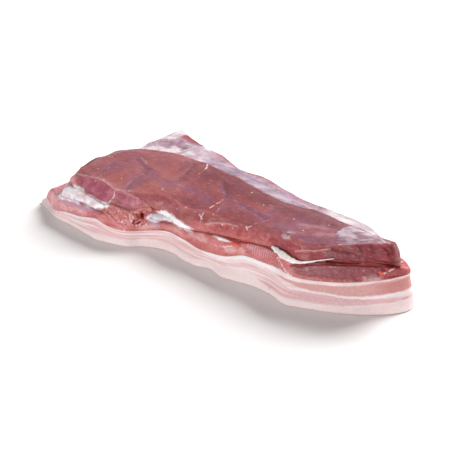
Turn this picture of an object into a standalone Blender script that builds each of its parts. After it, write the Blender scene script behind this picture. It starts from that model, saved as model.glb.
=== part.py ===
"""Pork flank: a slab of belly that lies rind down, with its muscles showing on top.

The cut is four layers, one closed solid each, from the bottom up:

  belly_fat      the rind and the thick streaky fat on it, with the whole cut's outline
  lower_muscle   the lean over the fat: a rounded shelf along the front, a wide ledge at the back
  seam_fat       the thin white fat between the muscles, thick at the left and spread over the ledge
  upper_muscle   the long flat muscle on top, with a slanting cut at its left front

X runs along the cut from the thin left tip to the thick right end, Y from its long front side to
its back, Z up from the rind. The origin is the middle of the footprint, on the surface it lies on.

Each layer starts as a ball primitive. The ball's rings are laid on plan rings of the meat, one
inside the other, so the layer is pressed to shape like dough. Layers that touch share the same plan
rings, so their faces keep an even gap.
"""

import math

import bmesh
import bpy
import numpy as np

MM = 0.001

# ---------------------------------------------------------------- driving sizes
AROUND = 112                # points round every ring
GAP = 0.4 * MM              # clear space between two layers
FOOT_ROUNDING = 2.5 * MM    # how far the rind turns under, and the height at which it does
FOOT_STEP = (0.6 * MM, 0.6 * MM)    # halfway round that turn: how far in, how high
SEAM_EDGE = (0.6 * MM, 1.2 * MM)    # rounded edge of the seam fat: how far in, how thick there
SEAM_MARGIN = 1.2 * MM      # the seam fat stops this far short of the shelf's edge
CROWN = 2.0 * MM            # how far the middle of the upper muscle stands above its two edges
SHARP_ANGLE = 50            # degrees; only sharper folds are drawn as an edge

# Where the rings inside each layer lie, as shares of the outer ring about a centre.
BASE_CENTRE = (-16 * MM, -23 * MM)
TOP_CENTRE = (-20 * MM, -30 * MM)
FAT_SHARES = (0.25, 0.5, 0.75, 0.93)
CORE_SHARE = 0.8            # the outermost ring that all upper layers share, of the upper muscle's
CORE_SHARES = (0.33, 0.67)
CREST_SHARES = (0.2, 0.45, 0.68, 0.86, 0.96)
RIND_SHARE = 0.5
RIM_POWER = 8               # how soon the rim's waves fade inwards, as a power of the share

# Where the rings on each wall lie, from the top (1) down to the foot (0).
FAT_WALL = (0.7, 0.4, 0.15)
LEAN_WALL = (0.82, 0.55, 0.25)
MUSCLE_WALL = (0.82, 0.6, 0.38, 0.16)

# Outline of the whole cut, in mm: the long front, the right end, the back, the left side.
BASE_OUTLINE = [
    (-169, -63), (-156, -70), (-140, -79), (-121, -82), (-101, -86), (-81, -88), (-65, -85), (-49, -76),
    (-31, -72), (-11, -75), (16, -77), (36, -80), (57, -78), (73, -81), (89, -87), (105, -83),
    (130, -74), (149, -63), (164, -49), (169.3, -36), (165, -25), (152, -18), (138, -14), (118, -3),
    (97, 6), (70, 13), (39, 18), (14, 27), (-11, 36), (-36, 39), (-51, 47), (-68, 56),
    (-88, 58), (-106, 70), (-123, 81), (-140, 88.4), (-147, 70), (-152, 32), (-156, -8), (-162, -43),
]

# Outline of the upper muscle's lower edge, in mm, in the same order.
TOP_OUTLINE = [
    (-138, -62), (-123, -71), (-104, -77), (-93, -80), (-82, -82), (-69, -77), (-57, -71), (-45, -64),
    (-34, -65), (-18, -71), (-1, -70), (21, -70), (45, -73), (64, -73), (79, -76), (92, -80),
    (104, -81), (116, -75), (133, -71), (146, -64), (159, -57), (161, -48), (153, -39), (139, -36),
    (118, -30), (96, -23), (75, -18), (54, -17), (34, -13), (9, -4), (-16, 5), (-46, 13),
    (-76, 17), (-103, 14), (-122, 7), (-137, -6), (-143, -24), (-142, -43),
]

# Values along the cut: (x in mm, value in mm).
FAT_HEIGHT = [(-169, 7), (-120, 12), (-80, 15), (-30, 17), (30, 20), (70, 24), (110, 26), (160, 29)]
FAT_HEIGHT_FRONT = [
    (-169, 7), (-158, 6), (-150, 5), (-131, 10), (-111, 13), (-100, 16), (-90, 18.5), (-78, 15.5),
    (-60, 14), (-45, 16), (-30, 18.5), (-12, 18), (4, 15), (20, 16.5), (34, 21), (46, 26),
    (62, 25.5), (85, 29), (103, 26), (130, 27.5), (150, 29.5), (169, 31),
]
LEAN_HEIGHT_FRONT = [
    (-161, 17.5), (-140, 19.5), (-111, 23.5), (-61, 24.5), (-45, 23.5), (-25, 25), (11, 29),
    (45, 34), (85, 37.5), (124, 40), (149, 43), (169, 44),
]
LEAN_HEIGHT_BACK = [
    (-150, 21), (-91, 26), (-31, 29.5), (29, 33), (69, 36), (109, 38.5), (138, 36.5), (160, 33),
]
SEAM_THICKNESS = [(-140, 7), (-100, 5), (-50, 3), (10, 1.8), (160, 1.5)]
CREST_HEIGHT_FRONT = [
    (-140, 40), (-90, 42), (-55, 41), (-25, 39), (5, 42), (36, 45), (60, 48), (84, 51),
    (110, 52), (130, 56), (150, 60), (161, 59),
]
CREST_HEIGHT_BACK = [(-142, 38), (-76, 39.5), (-16, 42), (34, 45), (80, 48), (120, 51), (155, 56)]

# Front and back edges, as (x in mm, y in mm), between which a front height blends into a back height.
CUT_FRONT = [(-169, -63), (-121, -82), (-51, -76), (159, -68)]
CUT_BACK = [(-141, 86), (-91, 60), (-31, 38), (69, 12), (139, -16), (169, -28)]
CREST_FRONT = [(-142, -50), (-104, -68), (-45, -58), (0, -62), (97, -74), (161, -56)]
CREST_BACK = [(-142, -20), (-122, 0), (-76, 8), (-16, -3), (34, -21), (96, -31), (161, -46)]

# How far the tips are drawn in along X on the way up, as (x in mm, shift in mm).
FAT_TIPS = [(-169, 5), (-156, 3), (-147, 2), (-125, 0), (150, 0), (169, -1)]
LEAN_TIPS = [(-169, 17), (-162, 12), (-156, 7), (-147, 4), (-135, 1), (-120, 0), (150, 0), (169, -2)]

# Values round an outline: (share of the way round from the left tip, value in mm).
FAT_INSET = [(0, 0.5), (0.2, 0.5), (0.39, 1), (0.41, 2), (0.426, 3.5), (0.44, 6), (0.46, 5), (0.52, 2),
             (0.8, 2), (0.9, 2), (1, 0.5)]
LEAN_INSET = [(0, 1), (0.04, 3), (0.15, 3.5), (0.29, 3), (0.39, 3), (0.41, 4), (0.426, 7), (0.44, 10),
              (0.46, 9), (0.5, 5), (0.52, 3.5), (0.8, 3), (0.9, 3), (1, 1)]
SEAM_REACH = [(0, 6), (0.02, 12), (0.054, 6), (0.072, 2), (0.09, -3), (0.125, -3), (0.142, 6), (0.152, 6),
              (0.172, 4), (0.19, 2), (0.215, -2), (0.3, -3), (0.326, 3), (0.35, 3), (0.365, 3),
              (0.39, -4), (0.41, -6), (0.44, -5), (0.48, -3), (0.5, 5), (0.53, 16), (0.57, 20), (0.62, 19),
              (0.66, 21), (0.75, 22), (0.84, 25), (0.885, 24), (0.92, 8), (0.95, 1), (0.975, 1), (1, 6)]
CREST_INSET = [(0, 9), (0.03, 10), (0.086, 9), (0.106, 7), (0.126, 7), (0.146, 8), (0.2, 10), (0.24, 6),
               (0.3, 4), (0.346, 6), (0.4, 3.5), (0.45, 4), (0.48, 7), (0.55, 9), (0.88, 9), (0.93, 6),
               (0.98, 6), (1, 9)]
CREST_ROUNDNESS = [(0, 0.15), (0.09, 0.15), (0.11, 0.6), (0.14, 1), (0.2, 1), (0.25, 0.6), (0.34, 0.7),
                   (0.4, 0.45), (0.45, 0.6), (0.5, 1), (0.9, 1), (0.95, 0.6), (1, 0.15)]
CLEFT_LIFT = [(0, 0), (0.33, 0), (0.37, 1.5), (0.41, 2.6), (0.45, 2.6), (0.48, 0.5), (0.5, 0), (1, 0)]


# ---------------------------------------------------------------- curves and heights
def read_off(where, stations):
    """A smooth curve through (place, value) stations that never overshoots them."""
    places, values = np.array(stations, dtype=float).T
    rise = np.diff(values) / np.diff(places)
    slope = np.zeros(len(places))
    same_way = rise[1:] * rise[:-1] > 0
    mean = 2 * rise[1:] * rise[:-1] / np.where(same_way, rise[1:] + rise[:-1], 1)
    slope[1:-1] = np.where(same_way, mean, 0)
    where = np.clip(where, places[0], places[-1])
    left = np.clip(np.searchsorted(places, where, side="right") - 1, 0, len(places) - 2)
    width = places[left + 1] - places[left]
    u = (where - places[left]) / width
    return ((2 * u**3 - 3 * u**2 + 1) * values[left] + (3 * u**2 - 2 * u**3) * values[left + 1]
            + width * ((u**3 - 2 * u**2 + u) * slope[left] + (u**3 - u**2) * slope[left + 1]))


def along_cut(plan, stations):
    """Metres at each plan point, from (x mm, value mm) stations."""
    return read_off(plan[:, 0] / MM, stations) * MM


def round_outline(stations):
    """Metres at each point of a ring, from (share of the way round, value mm) stations."""
    return read_off(np.arange(AROUND) / AROUND, stations) * MM


def outline_ring(points):
    """AROUND plan points, in metres, evenly along a smooth closed curve through the points."""
    knots = np.array(points, dtype=float) * MM
    after = np.roll(knots, -1, axis=0)
    before = np.roll(knots, 1, axis=0)
    step = np.linalg.norm(after - knots, axis=1)[:, None]
    last = np.roll(step, 1, axis=0)
    slope = ((after - knots) / step * last + (knots - before) / last * step) / (step + last)
    ends = np.concatenate([[0.0], np.cumsum(step)])
    places = np.arange(AROUND) / AROUND * ends[-1]
    k = np.searchsorted(ends, places, side="right") - 1
    following = (k + 1) % len(knots)
    u = ((places - ends[k]) / step[k, 0])[:, None]
    return ((2 * u**3 - 3 * u**2 + 1) * knots[k] + (3 * u**2 - 2 * u**3) * knots[following]
            + step[k] * ((u**3 - 2 * u**2 + u) * slope[k] + (u**3 - u**2) * slope[following]))


def moved_in(ring, inset):
    """The ring moved towards the meat by inset metres at each point."""
    along = np.roll(ring, -1, axis=0) - np.roll(ring, 1, axis=0)
    along /= np.linalg.norm(along, axis=1)[:, None]
    inward = np.stack([-along[:, 1], along[:, 0]], axis=1)
    return ring + inward * np.broadcast_to(inset, len(ring))[:, None]


def room_inside(ring, outer):
    """How far each ring point lies inside the outer ring, in metres; below 0 is outside it."""
    edge = np.roll(outer, -1, axis=0) - outer
    away = ring[:, None, :] - outer[None, :, :]
    share = np.clip((away * edge).sum(axis=2) / (edge**2).sum(axis=1), 0, 1)
    gap = away - share[:, :, None] * edge
    nearest = np.argmin((gap**2).sum(axis=2), axis=1)
    inward = np.stack([-edge[:, 1], edge[:, 0]], axis=1)[nearest]
    chosen = gap[np.arange(len(ring)), nearest]
    side = np.sign((chosen * inward).sum(axis=1))
    return side * np.linalg.norm(chosen, axis=1)


def drawn_in(ring, shifts):
    """The ring with its tips drawn in along X."""
    return ring + np.stack([along_cut(ring, shifts), np.zeros(len(ring))], axis=1)


def shrunk(ring, centre, share):
    """The ring drawn in towards a centre, to a share of its size."""
    return np.array(centre) + share * (ring - np.array(centre))


def across(plan, front_line, back_line):
    """0 on the front line and 1 on the back line."""
    front = along_cut(plan, front_line)
    back = along_cut(plan, back_line)
    return np.clip((plan[:, 1] - front) / (back - front), 0, 1)


def across_cut(plan):
    """0 on the cut's front side and 1 on its back, with an easy start and end."""
    v = across(plan, CUT_FRONT, CUT_BACK)
    return v * v * (3 - 2 * v)


def lean_top(plan):
    v = across_cut(plan)
    return (1 - v) * along_cut(plan, LEAN_HEIGHT_FRONT) + v * along_cut(plan, LEAN_HEIGHT_BACK)


def seam_top(plan):
    return lean_top(plan) + GAP + along_cut(plan, SEAM_THICKNESS)


def crest(plan, share=0.0):
    """Top of the upper muscle: from its front edge to its back edge, with a low crown between."""
    v = across(plan, CREST_FRONT, CREST_BACK)
    edge = (1 - v) * along_cut(plan, CREST_HEIGHT_FRONT) + v * along_cut(plan, CREST_HEIGHT_BACK)
    return edge + 4 * v * (1 - v) * CROWN


# ---------------------------------------------------------------- the plan rings
base_ring = outline_ring(BASE_OUTLINE)
top_ring = outline_ring(TOP_OUTLINE)
fat_rim = drawn_in(moved_in(base_ring, round_outline(FAT_INSET)), FAT_TIPS)
lean_rim = drawn_in(moved_in(base_ring, round_outline(LEAN_INSET)), LEAN_TIPS)
seam_reach = np.minimum(round_outline(SEAM_REACH), room_inside(top_ring, lean_rim) - SEAM_MARGIN)
seam_rim = moved_in(top_ring, -seam_reach)
seam_shoulder = moved_in(top_ring, -np.minimum(seam_reach - 1 * MM, 0))
core_ring = shrunk(top_ring, TOP_CENTRE, CORE_SHARE)
crest_ring = moved_in(top_ring, round_outline(CREST_INSET))


def fat_top(ring, share):
    """Top of the fat on a ring: wavy at the rim, even inside."""
    rim = along_cut(ring, FAT_HEIGHT_FRONT)
    front_only = share**RIM_POWER * (1 - across_cut(ring))
    return front_only * rim + (1 - front_only) * along_cut(ring, FAT_HEIGHT)


# ---------------------------------------------------------------- solids from rings
def row(plan, height):
    """One ring of points, from its plan points and their heights."""
    return np.column_stack([plan, np.broadcast_to(height, len(plan))])


def rings_inward(ring, centre, shares, height):
    """Rows inside a ring, the smallest first."""
    inner = [shrunk(ring, centre, share) for share in shares]
    return [row(plan, height(plan, share)) for plan, share in zip(inner, shares)]


def pole(centre, height, share=0.0):
    plan = np.array([centre])
    return (*centre, float(height(plan, share)[0]))


def layer(name, top_pole, rows, bottom_pole, material):
    """A ball primitive whose rings are laid on the rows, listed from the top down."""
    bm = bmesh.new()
    bmesh.ops.create_uvsphere(bm, u_segments=AROUND, v_segments=len(rows) + 1, radius=1)
    for vertex in bm.verts:
        x, y, z = vertex.co
        level = round(math.acos(max(-1.0, min(1.0, z))) / math.pi * (len(rows) + 1))
        if level == 0:
            vertex.co = top_pole
        elif level > len(rows):
            vertex.co = bottom_pole
        else:
            place = round(math.atan2(y, x) / math.tau * AROUND) % AROUND
            vertex.co = rows[level - 1][place]
    # The shorter diagonal is the same one on both faces of a gap, so they stay parallel.
    bmesh.ops.triangulate(bm, faces=bm.faces, quad_method="SHORT_EDGE")
    mesh = bpy.data.meshes.new(name)
    bm.to_mesh(mesh)
    bm.free()
    mesh.shade_smooth()
    mesh.set_sharp_from_angle(angle=math.radians(SHARP_ANGLE))
    mesh.materials.append(material)
    body = bpy.data.objects.new(name, mesh)
    flank.objects.link(body)
    return body


def finish(name, colour, roughness):
    material = bpy.data.materials.new(name)
    material.use_nodes = True
    shader = material.node_tree.nodes["Principled BSDF"]
    shader.inputs["Base Color"].default_value = (*colour, 1)
    shader.inputs["Roughness"].default_value = roughness
    shader.inputs["Metallic"].default_value = 0
    return material


# ---------------------------------------------------------------- the four layers
def make_belly_fat():
    """Flat rind, a foot that turns under, a wall that stands up and leans in at the tips."""
    rim_height = fat_top(fat_rim, 1.0)
    wall = [row(base_ring + share * (fat_rim - base_ring),
                FOOT_ROUNDING + share * (rim_height - FOOT_ROUNDING)) for share in FAT_WALL]
    foot_ring = moved_in(base_ring, FOOT_ROUNDING)
    foot = [row(moved_in(base_ring, FOOT_STEP[0]), FOOT_STEP[1]), row(foot_ring, 0)]
    rind = [row(shrunk(foot_ring, BASE_CENTRE, RIND_SHARE), 0)]
    rows = [*rings_inward(fat_rim, BASE_CENTRE, FAT_SHARES, fat_top), row(fat_rim, rim_height),
            *wall, *foot, *rind]
    return layer("belly_fat", pole(BASE_CENTRE, fat_top), rows, (*BASE_CENTRE, 0),
                 finish("fat_and_rind", (0.80, 0.62, 0.58), 0.45))


def make_lower_muscle():
    """A wall that swells and rounds over to the shelf, then the flat on which the rest lies."""
    def underside(plan, share):
        return fat_top(plan, share) + GAP

    def flat(plan, share=0.0):
        return lean_top(plan)

    low = underside(fat_rim, 1.0)
    high = flat(lean_rim)
    wall = []
    for share in LEAN_WALL:
        turn = share * math.pi / 2
        plan = fat_rim + (1 - math.cos(turn)) * (lean_rim - fat_rim)
        wall.append(row(plan, low + math.sin(turn) * (high - low)))
    shared = [core_ring, seam_shoulder, seam_rim]
    rows = [*rings_inward(core_ring, TOP_CENTRE, CORE_SHARES, flat),
            *[row(plan, flat(plan)) for plan in shared],
            row(lean_rim, high), *wall, row(fat_rim, low),
            *rings_inward(fat_rim, BASE_CENTRE, FAT_SHARES, underside)[::-1]]
    return layer("lower_muscle", pole(TOP_CENTRE, flat), rows, pole(BASE_CENTRE, underside),
                 finish("lower_lean", (0.48, 0.13, 0.13), 0.4))


def make_seam_fat():
    """Full thickness under the upper muscle, thinning to an edge where it comes out from under it."""
    def underside(plan, share=0.0):
        return lean_top(plan) + GAP

    def upper(plan, share=0.0):
        return seam_top(plan)

    edge = moved_in(seam_rim, SEAM_EDGE[0])
    rows = [*rings_inward(core_ring, TOP_CENTRE, CORE_SHARES, upper),
            *[row(plan, upper(plan)) for plan in (core_ring, seam_shoulder)],
            row(edge, underside(edge) + SEAM_EDGE[1]), row(seam_rim, underside(seam_rim)),
            *[row(plan, underside(plan)) for plan in (seam_shoulder, core_ring)],
            *rings_inward(core_ring, TOP_CENTRE, CORE_SHARES, underside)[::-1]]
    return layer("seam_fat", pole(TOP_CENTRE, upper), rows, pole(TOP_CENTRE, underside),
                 finish("white_fat", (0.86, 0.80, 0.78), 0.4))


def make_upper_muscle():
    """A long flat muscle: a slanting cut at the left front, round shoulders, a lifted lip at the right."""
    def underside(plan, share=0.0):
        return seam_top(plan) + GAP

    roundness = round_outline(CREST_ROUNDNESS) / MM
    high = crest(crest_ring)
    low = underside(top_ring) + round_outline(CLEFT_LIFT)
    wall = []
    for share in MUSCLE_WALL:
        turn = share * math.pi / 2
        draw_in = (1 - roundness) * share + roundness * (1 - math.cos(turn))
        rise = (1 - roundness) * share + roundness * math.sin(turn)
        plan = top_ring + draw_in[:, None] * (crest_ring - top_ring)
        wall.append(row(plan, low + rise * (high - low)))
    rows = [*rings_inward(crest_ring, TOP_CENTRE, CREST_SHARES, crest),
            row(crest_ring, high), *wall, row(top_ring, low),
            row(core_ring, underside(core_ring)),
            *rings_inward(core_ring, TOP_CENTRE, CORE_SHARES, underside)[::-1]]
    return layer("upper_muscle", pole(TOP_CENTRE, crest), rows, pole(TOP_CENTRE, underside),
                 finish("upper_lean", (0.34, 0.12, 0.11), 0.4))


for leftover in list(bpy.data.objects):
    bpy.data.objects.remove(leftover)
flank = bpy.data.collections.new("pork_flank")
bpy.context.scene.collection.children.link(flank)
make_belly_fat()
make_lower_muscle()
make_seam_fat()
make_upper_muscle()
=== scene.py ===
# %% [markdown]
# # A slab of pork flank
# The real thing is one piece of raw meat in four layers: rind with streaky fat, a shelf of lean, a thin
# white fat seam, and a long flat muscle on top. The frame that is loaded here holds those four layers as
# plain solids. This script puts a fine skin over each of them, with its own relief and its own finish.
# Sizes are in millimetres up to the moment when a mesh is made, because butchers think in millimetres.

import math

import bpy
import numpy as np
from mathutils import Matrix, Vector


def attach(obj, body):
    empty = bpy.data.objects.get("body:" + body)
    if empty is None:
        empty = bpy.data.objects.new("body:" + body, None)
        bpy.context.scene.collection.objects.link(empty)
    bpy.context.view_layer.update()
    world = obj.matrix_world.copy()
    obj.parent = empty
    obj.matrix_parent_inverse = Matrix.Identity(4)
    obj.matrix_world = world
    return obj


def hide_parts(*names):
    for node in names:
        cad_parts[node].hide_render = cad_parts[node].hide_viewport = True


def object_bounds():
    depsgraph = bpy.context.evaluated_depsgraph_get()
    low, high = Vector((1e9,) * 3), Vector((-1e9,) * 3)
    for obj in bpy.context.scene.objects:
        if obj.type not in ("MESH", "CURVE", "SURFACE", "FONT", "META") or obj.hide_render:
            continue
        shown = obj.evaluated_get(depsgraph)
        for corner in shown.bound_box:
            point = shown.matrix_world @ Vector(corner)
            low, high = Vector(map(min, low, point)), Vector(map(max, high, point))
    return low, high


MM = 0.001

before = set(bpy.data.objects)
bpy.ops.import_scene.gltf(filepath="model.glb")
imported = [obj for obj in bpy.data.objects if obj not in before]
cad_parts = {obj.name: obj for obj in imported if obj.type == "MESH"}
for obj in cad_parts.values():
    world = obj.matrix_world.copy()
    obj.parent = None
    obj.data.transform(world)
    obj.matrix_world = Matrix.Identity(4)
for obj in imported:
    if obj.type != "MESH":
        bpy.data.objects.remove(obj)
cad_box = [list(corner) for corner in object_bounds()]
print("layers:", sorted(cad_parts))
print("box in mm:", np.round(np.array(cad_box) / MM, 1).tolist())

# %% [markdown]
# ## The camera comes first
# Many small things on this meat, such as a sinew or a dark groove, have no size of their own to go by.
# They are placed by where the photograph shows them. So the camera is set up first, at the photograph's
# angle, and `seen` says at which pixel of the 453 x 453 picture a point of the meat appears.

# %% Camera and the picture's pixels
AZIMUTH = math.radians(36)
ELEVATION = math.radians(27)
DISTANCE = 1250
LENS = 129
SENSOR = 36
FARTHEST = 10               # the camera sees this far, in metres
PICTURE = 453
LOOK_AT = np.array([9.0, -48.0, 25.0])

away = np.array([math.sin(AZIMUTH) * math.cos(ELEVATION),
                 -math.cos(AZIMUTH) * math.cos(ELEVATION), math.sin(ELEVATION)])
rightward = np.array([math.cos(AZIMUTH), math.sin(AZIMUTH), 0.0])
upward = np.cross(away, rightward)
eye = LOOK_AT + DISTANCE * away


def seen(points):
    """Pixel (right, down) and depth in mm of each point: the offset from the eye, divided by its depth."""
    offset = points - eye
    depth = -(offset @ away)
    scale = PICTURE * LENS / SENSOR / depth
    pixel = np.stack([PICTURE / 2 + (offset @ rightward) * scale,
                      PICTURE / 2 - (offset @ upward) * scale], axis=-1)
    return pixel, depth


def placed(name, data, at=(0, 0, 0), looking=None):
    """A new object in the scene, at a place in mm; if looking is given, its -Z is turned that way."""
    thing = bpy.data.objects.new(name, data)
    bpy.context.collection.objects.link(thing)
    thing.location = np.array(at) * MM
    if looking is not None:
        thing.rotation_mode = "QUATERNION"
        thing.rotation_quaternion = Vector(looking).to_track_quat("-Z", "Y")
    return thing


camera = placed("camera", bpy.data.cameras.new("camera"), eye, -away)
camera.data.lens = LENS
camera.data.sensor_width = SENSOR
camera.data.clip_end = FARTHEST
bpy.context.scene.camera = camera
print("the slab's left end is seen at pixel", seen(np.array([-169.0, -63.0, 0.0]))[0].round(1))

# %% [markdown]
# ## Curves
# A cut of meat has no straight edges and no true arcs. Its outline is a smooth closed curve through a
# few points, and its heights are smooth curves through a few stations. Both could be Blender curve
# objects, but worked out as arrays they give every point of the skin at once.

# %% Smooth curves through stations and points
AROUND = 112                # points round a ring of the solids
STEPS = 8                   # skin points for each of those


def part_way(start, end, share):
    """start + share * (end - start)"""
    return start + share * (end - start)


def hermite(u, start, end, length, slope, end_slope):
    """Cubic from start to end over a length, with a slope at each end; u runs from 0 to 1."""
    return ((2 * u**3 - 3 * u**2 + 1) * start + (3 * u**2 - 2 * u**3) * end
            + length * ((u**3 - 2 * u**2 + u) * slope + (u**3 - u**2) * end_slope))


def catmull_rom(before, start, end, after, u):
    """Cubic from start to end that leaves along before-to-end and arrives along start-to-after."""
    return 0.5 * (2 * start + (end - before) * u + (2 * before - 5 * start + 4 * end - after) * u**2
                  + (3 * start - before - 3 * end + after) * u**3)


def read_off(where, stations):
    """Hermite curve through (place, value) stations; slopes are harmonic means, so it never overshoots."""
    places, values = np.array(stations, dtype=float).T
    rise = np.diff(values) / np.diff(places)
    slope = np.zeros(len(places))
    same_way = rise[1:] * rise[:-1] > 0
    mean = 2 * rise[1:] * rise[:-1] / np.where(same_way, rise[1:] + rise[:-1], 1)
    slope[1:-1] = np.where(same_way, mean, 0)
    where = np.clip(where, places[0], places[-1])
    left = np.clip(np.searchsorted(places, where, side="right") - 1, 0, len(places) - 2)
    width = places[left + 1] - places[left]
    u = (where - places[left]) / width
    return hermite(u, values[left], values[left + 1], width, slope[left], slope[left + 1])


def along_cut(plan, stations):
    """Value at each plan point from (x, value) stations."""
    return read_off(plan[:, 0], stations)


def round_outline(stations):
    """Value at each of the AROUND places from (share of the way round, value) stations."""
    return read_off(np.arange(AROUND) / AROUND, stations)


def outline_ring(points):
    """AROUND places at even lengths along a closed Hermite curve through the points."""
    knots = np.array(points, dtype=float)
    after = np.roll(knots, -1, axis=0)
    before = np.roll(knots, 1, axis=0)
    step = np.linalg.norm(after - knots, axis=1)[:, None]
    last = np.roll(step, 1, axis=0)
    slope = ((after - knots) / step * last + (knots - before) / last * step) / (step + last)
    ends = np.concatenate([[0.0], np.cumsum(step)])
    places = np.arange(AROUND) / AROUND * ends[-1]
    k = np.searchsorted(ends, places, side="right") - 1
    following = (k + 1) % len(knots)
    u = ((places - ends[k]) / step[k, 0])[:, None]
    return hermite(u, knots[k], knots[following], step[k], slope[k], slope[following])


def moved_in(ring, inset):
    """The ring moved along its normals towards the meat."""
    along = np.roll(ring, -1, axis=0) - np.roll(ring, 1, axis=0)
    along /= np.linalg.norm(along, axis=1)[:, None]
    inward = np.stack([-along[:, 1], along[:, 0]], axis=1)
    return ring + inward * np.broadcast_to(inset, len(ring))[:, None]


def room_inside(ring, outer):
    """How far each ring point lies inside the outer ring: the signed distance to its nearest edge."""
    edge = np.roll(outer, -1, axis=0) - outer
    gap = ring[:, None, :] - outer[None, :, :]
    share = np.clip((gap * edge).sum(axis=2) / (edge**2).sum(axis=1), 0, 1)
    gap = gap - share[:, :, None] * edge
    nearest = np.argmin((gap**2).sum(axis=2), axis=1)
    chosen = gap[np.arange(len(ring)), nearest]
    inward = np.stack([-edge[:, 1], edge[:, 0]], axis=1)[nearest]
    return np.sign((chosen * inward).sum(axis=1)) * np.linalg.norm(chosen, axis=1)


def drawn_in(ring, shifts):
    """The ring with its tips shifted along X, by (x, shift) stations."""
    return ring + np.stack([along_cut(ring, shifts), np.zeros(len(ring))], axis=1)


def across(plan, front_line, back_line):
    """0 on the front line, 1 on the back line, even between."""
    front = along_cut(plan, front_line)
    back = along_cut(plan, back_line)
    return np.clip((plan[:, 1] - front) / (back - front), 0, 1)


def soft_step(value, low, high):
    """0 below low, 1 above high, and 3u^2 - 2u^3 between."""
    u = np.clip((value - low) / (high - low), 0, 1)
    return u * u * (3 - 2 * u)


def window(value, low, full, fading, gone):
    """0 below low, 1 from full to fading, 0 above gone, with soft steps between."""
    return soft_step(value, low, full) * soft_step(-value, -gone, -fading)


print("curves ready")

# %% [markdown]
# ## Outlines and heights of the layers
# These are the slab's driving sizes: two outlines, the heights of each layer along the cut, and how far
# each layer's rim is drawn in. They are those of the solids, but for two heights that follow the
# photograph more closely, by a millimetre or two: the fat's in front and the lean's behind. The rings of
# the skin are worked out from them, so the skin lies where the solids are.

# %% Driving sizes
FOOT_ROUNDING = 2.5         # radius with which the wall turns under
SEAM_MARGIN = 1.2           # the seam ends this far inside the lean's rim
CROWN = 2.0                 # the upper muscle's middle stands this much over its edges

# Outlines: (x, y) from the left end along the front and home along the back.
BASE_OUTLINE = [(-169, -63), (-156, -70), (-140, -79), (-121, -82), (-101, -86), (-81, -88), (-65, -85),
    (-49, -76), (-31, -72), (-11, -75), (16, -77), (36, -80), (57, -78), (73, -81), (89, -87), (105, -83),
    (130, -74), (149, -63), (164, -49), (169.3, -36), (165, -25), (152, -18), (138, -14), (118, -3), (97, 6),
    (70, 13), (39, 18), (14, 27), (-11, 36), (-36, 39), (-51, 47), (-68, 56), (-88, 58), (-106, 70),
    (-123, 81), (-140, 88.4), (-147, 70), (-152, 32), (-156, -8), (-162, -43)]
TOP_OUTLINE = [(-138, -62), (-123, -71), (-104, -77), (-93, -80), (-82, -82), (-69, -77), (-57, -71),
    (-45, -64), (-34, -65), (-18, -71), (-1, -70), (21, -70), (45, -73), (64, -73), (79, -76), (92, -80),
    (104, -81), (116, -75), (133, -71), (146, -64), (159, -57), (161, -48), (153, -39), (139, -36),
    (118, -30), (96, -23), (75, -18), (54, -17), (34, -13), (9, -4), (-16, 5), (-46, 13), (-76, 17),
    (-103, 14), (-122, 7), (-137, -6), (-143, -24), (-142, -43)]
# Heights and thickness: (x, height) along the cut.
FAT_HEIGHT = [(-169, 7), (-120, 12), (-80, 15), (-30, 17), (30, 20), (70, 24), (110, 26), (160, 29)]
FAT_HEIGHT_FRONT = [(-169, 7), (-158, 6), (-150, 5), (-131, 10), (-111, 13), (-100, 16), (-90, 18.5),
    (-78, 15.5), (-60, 14), (-45, 16), (-30, 18.5), (-12, 18), (4, 15), (20, 16.5), (34, 20), (46, 24.5),
    (62, 24.2), (85, 27.4), (103, 24.7), (130, 26.3), (150, 28.8), (169, 30.8)]
LEAN_HEIGHT_FRONT = [(-161, 17.5), (-140, 19.5), (-111, 23.5), (-61, 24.5), (-45, 23.5), (-25, 25), (11, 29),
    (45, 34), (85, 37.5), (124, 40), (149, 43), (169, 44)]
LEAN_HEIGHT_BACK = [(-150, 21), (-91, 26), (-31, 29.5), (29, 31.5), (69, 33), (95, 35.5), (120, 38.5),
    (140, 37.5), (152, 33), (164, 31.5)]
SEAM_THICKNESS = [(-140, 7), (-100, 5), (-50, 3), (10, 1.8), (160, 1.5)]
CREST_HEIGHT_FRONT = [(-140, 40), (-90, 42), (-55, 41), (-25, 39), (5, 42), (36, 45), (60, 48), (84, 51),
    (110, 52), (130, 56), (150, 60), (161, 59)]
CREST_HEIGHT_BACK = [(-142, 38), (-76, 39.5), (-16, 42), (34, 45), (80, 48), (120, 51), (155, 56)]
# Front and back line of the cut and of the upper muscle: (x, y).
CUT_FRONT = [(-169, -63), (-121, -82), (-51, -76), (159, -68)]
CUT_BACK = [(-141, 86), (-91, 60), (-31, 38), (69, 12), (139, -16), (169, -28)]
CREST_FRONT = [(-142, -50), (-104, -68), (-45, -58), (0, -62), (97, -74), (161, -56)]
CREST_BACK = [(-142, -20), (-122, 0), (-76, 8), (-16, -3), (34, -21), (96, -31), (161, -46)]
CUT_LINES = CUT_FRONT, CUT_BACK
CREST_LINES = CREST_FRONT, CREST_BACK
# How far the tips of a rim are shifted: (x, shift).
FAT_TIPS = [(-169, 5), (-156, 3), (-147, 2), (-125, 0), (150, 0), (169, -1)]
LEAN_TIPS = [(-169, 17), (-162, 12), (-156, 7), (-147, 4), (-135, 1), (-120, 0), (150, 0), (169, -2)]
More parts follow.
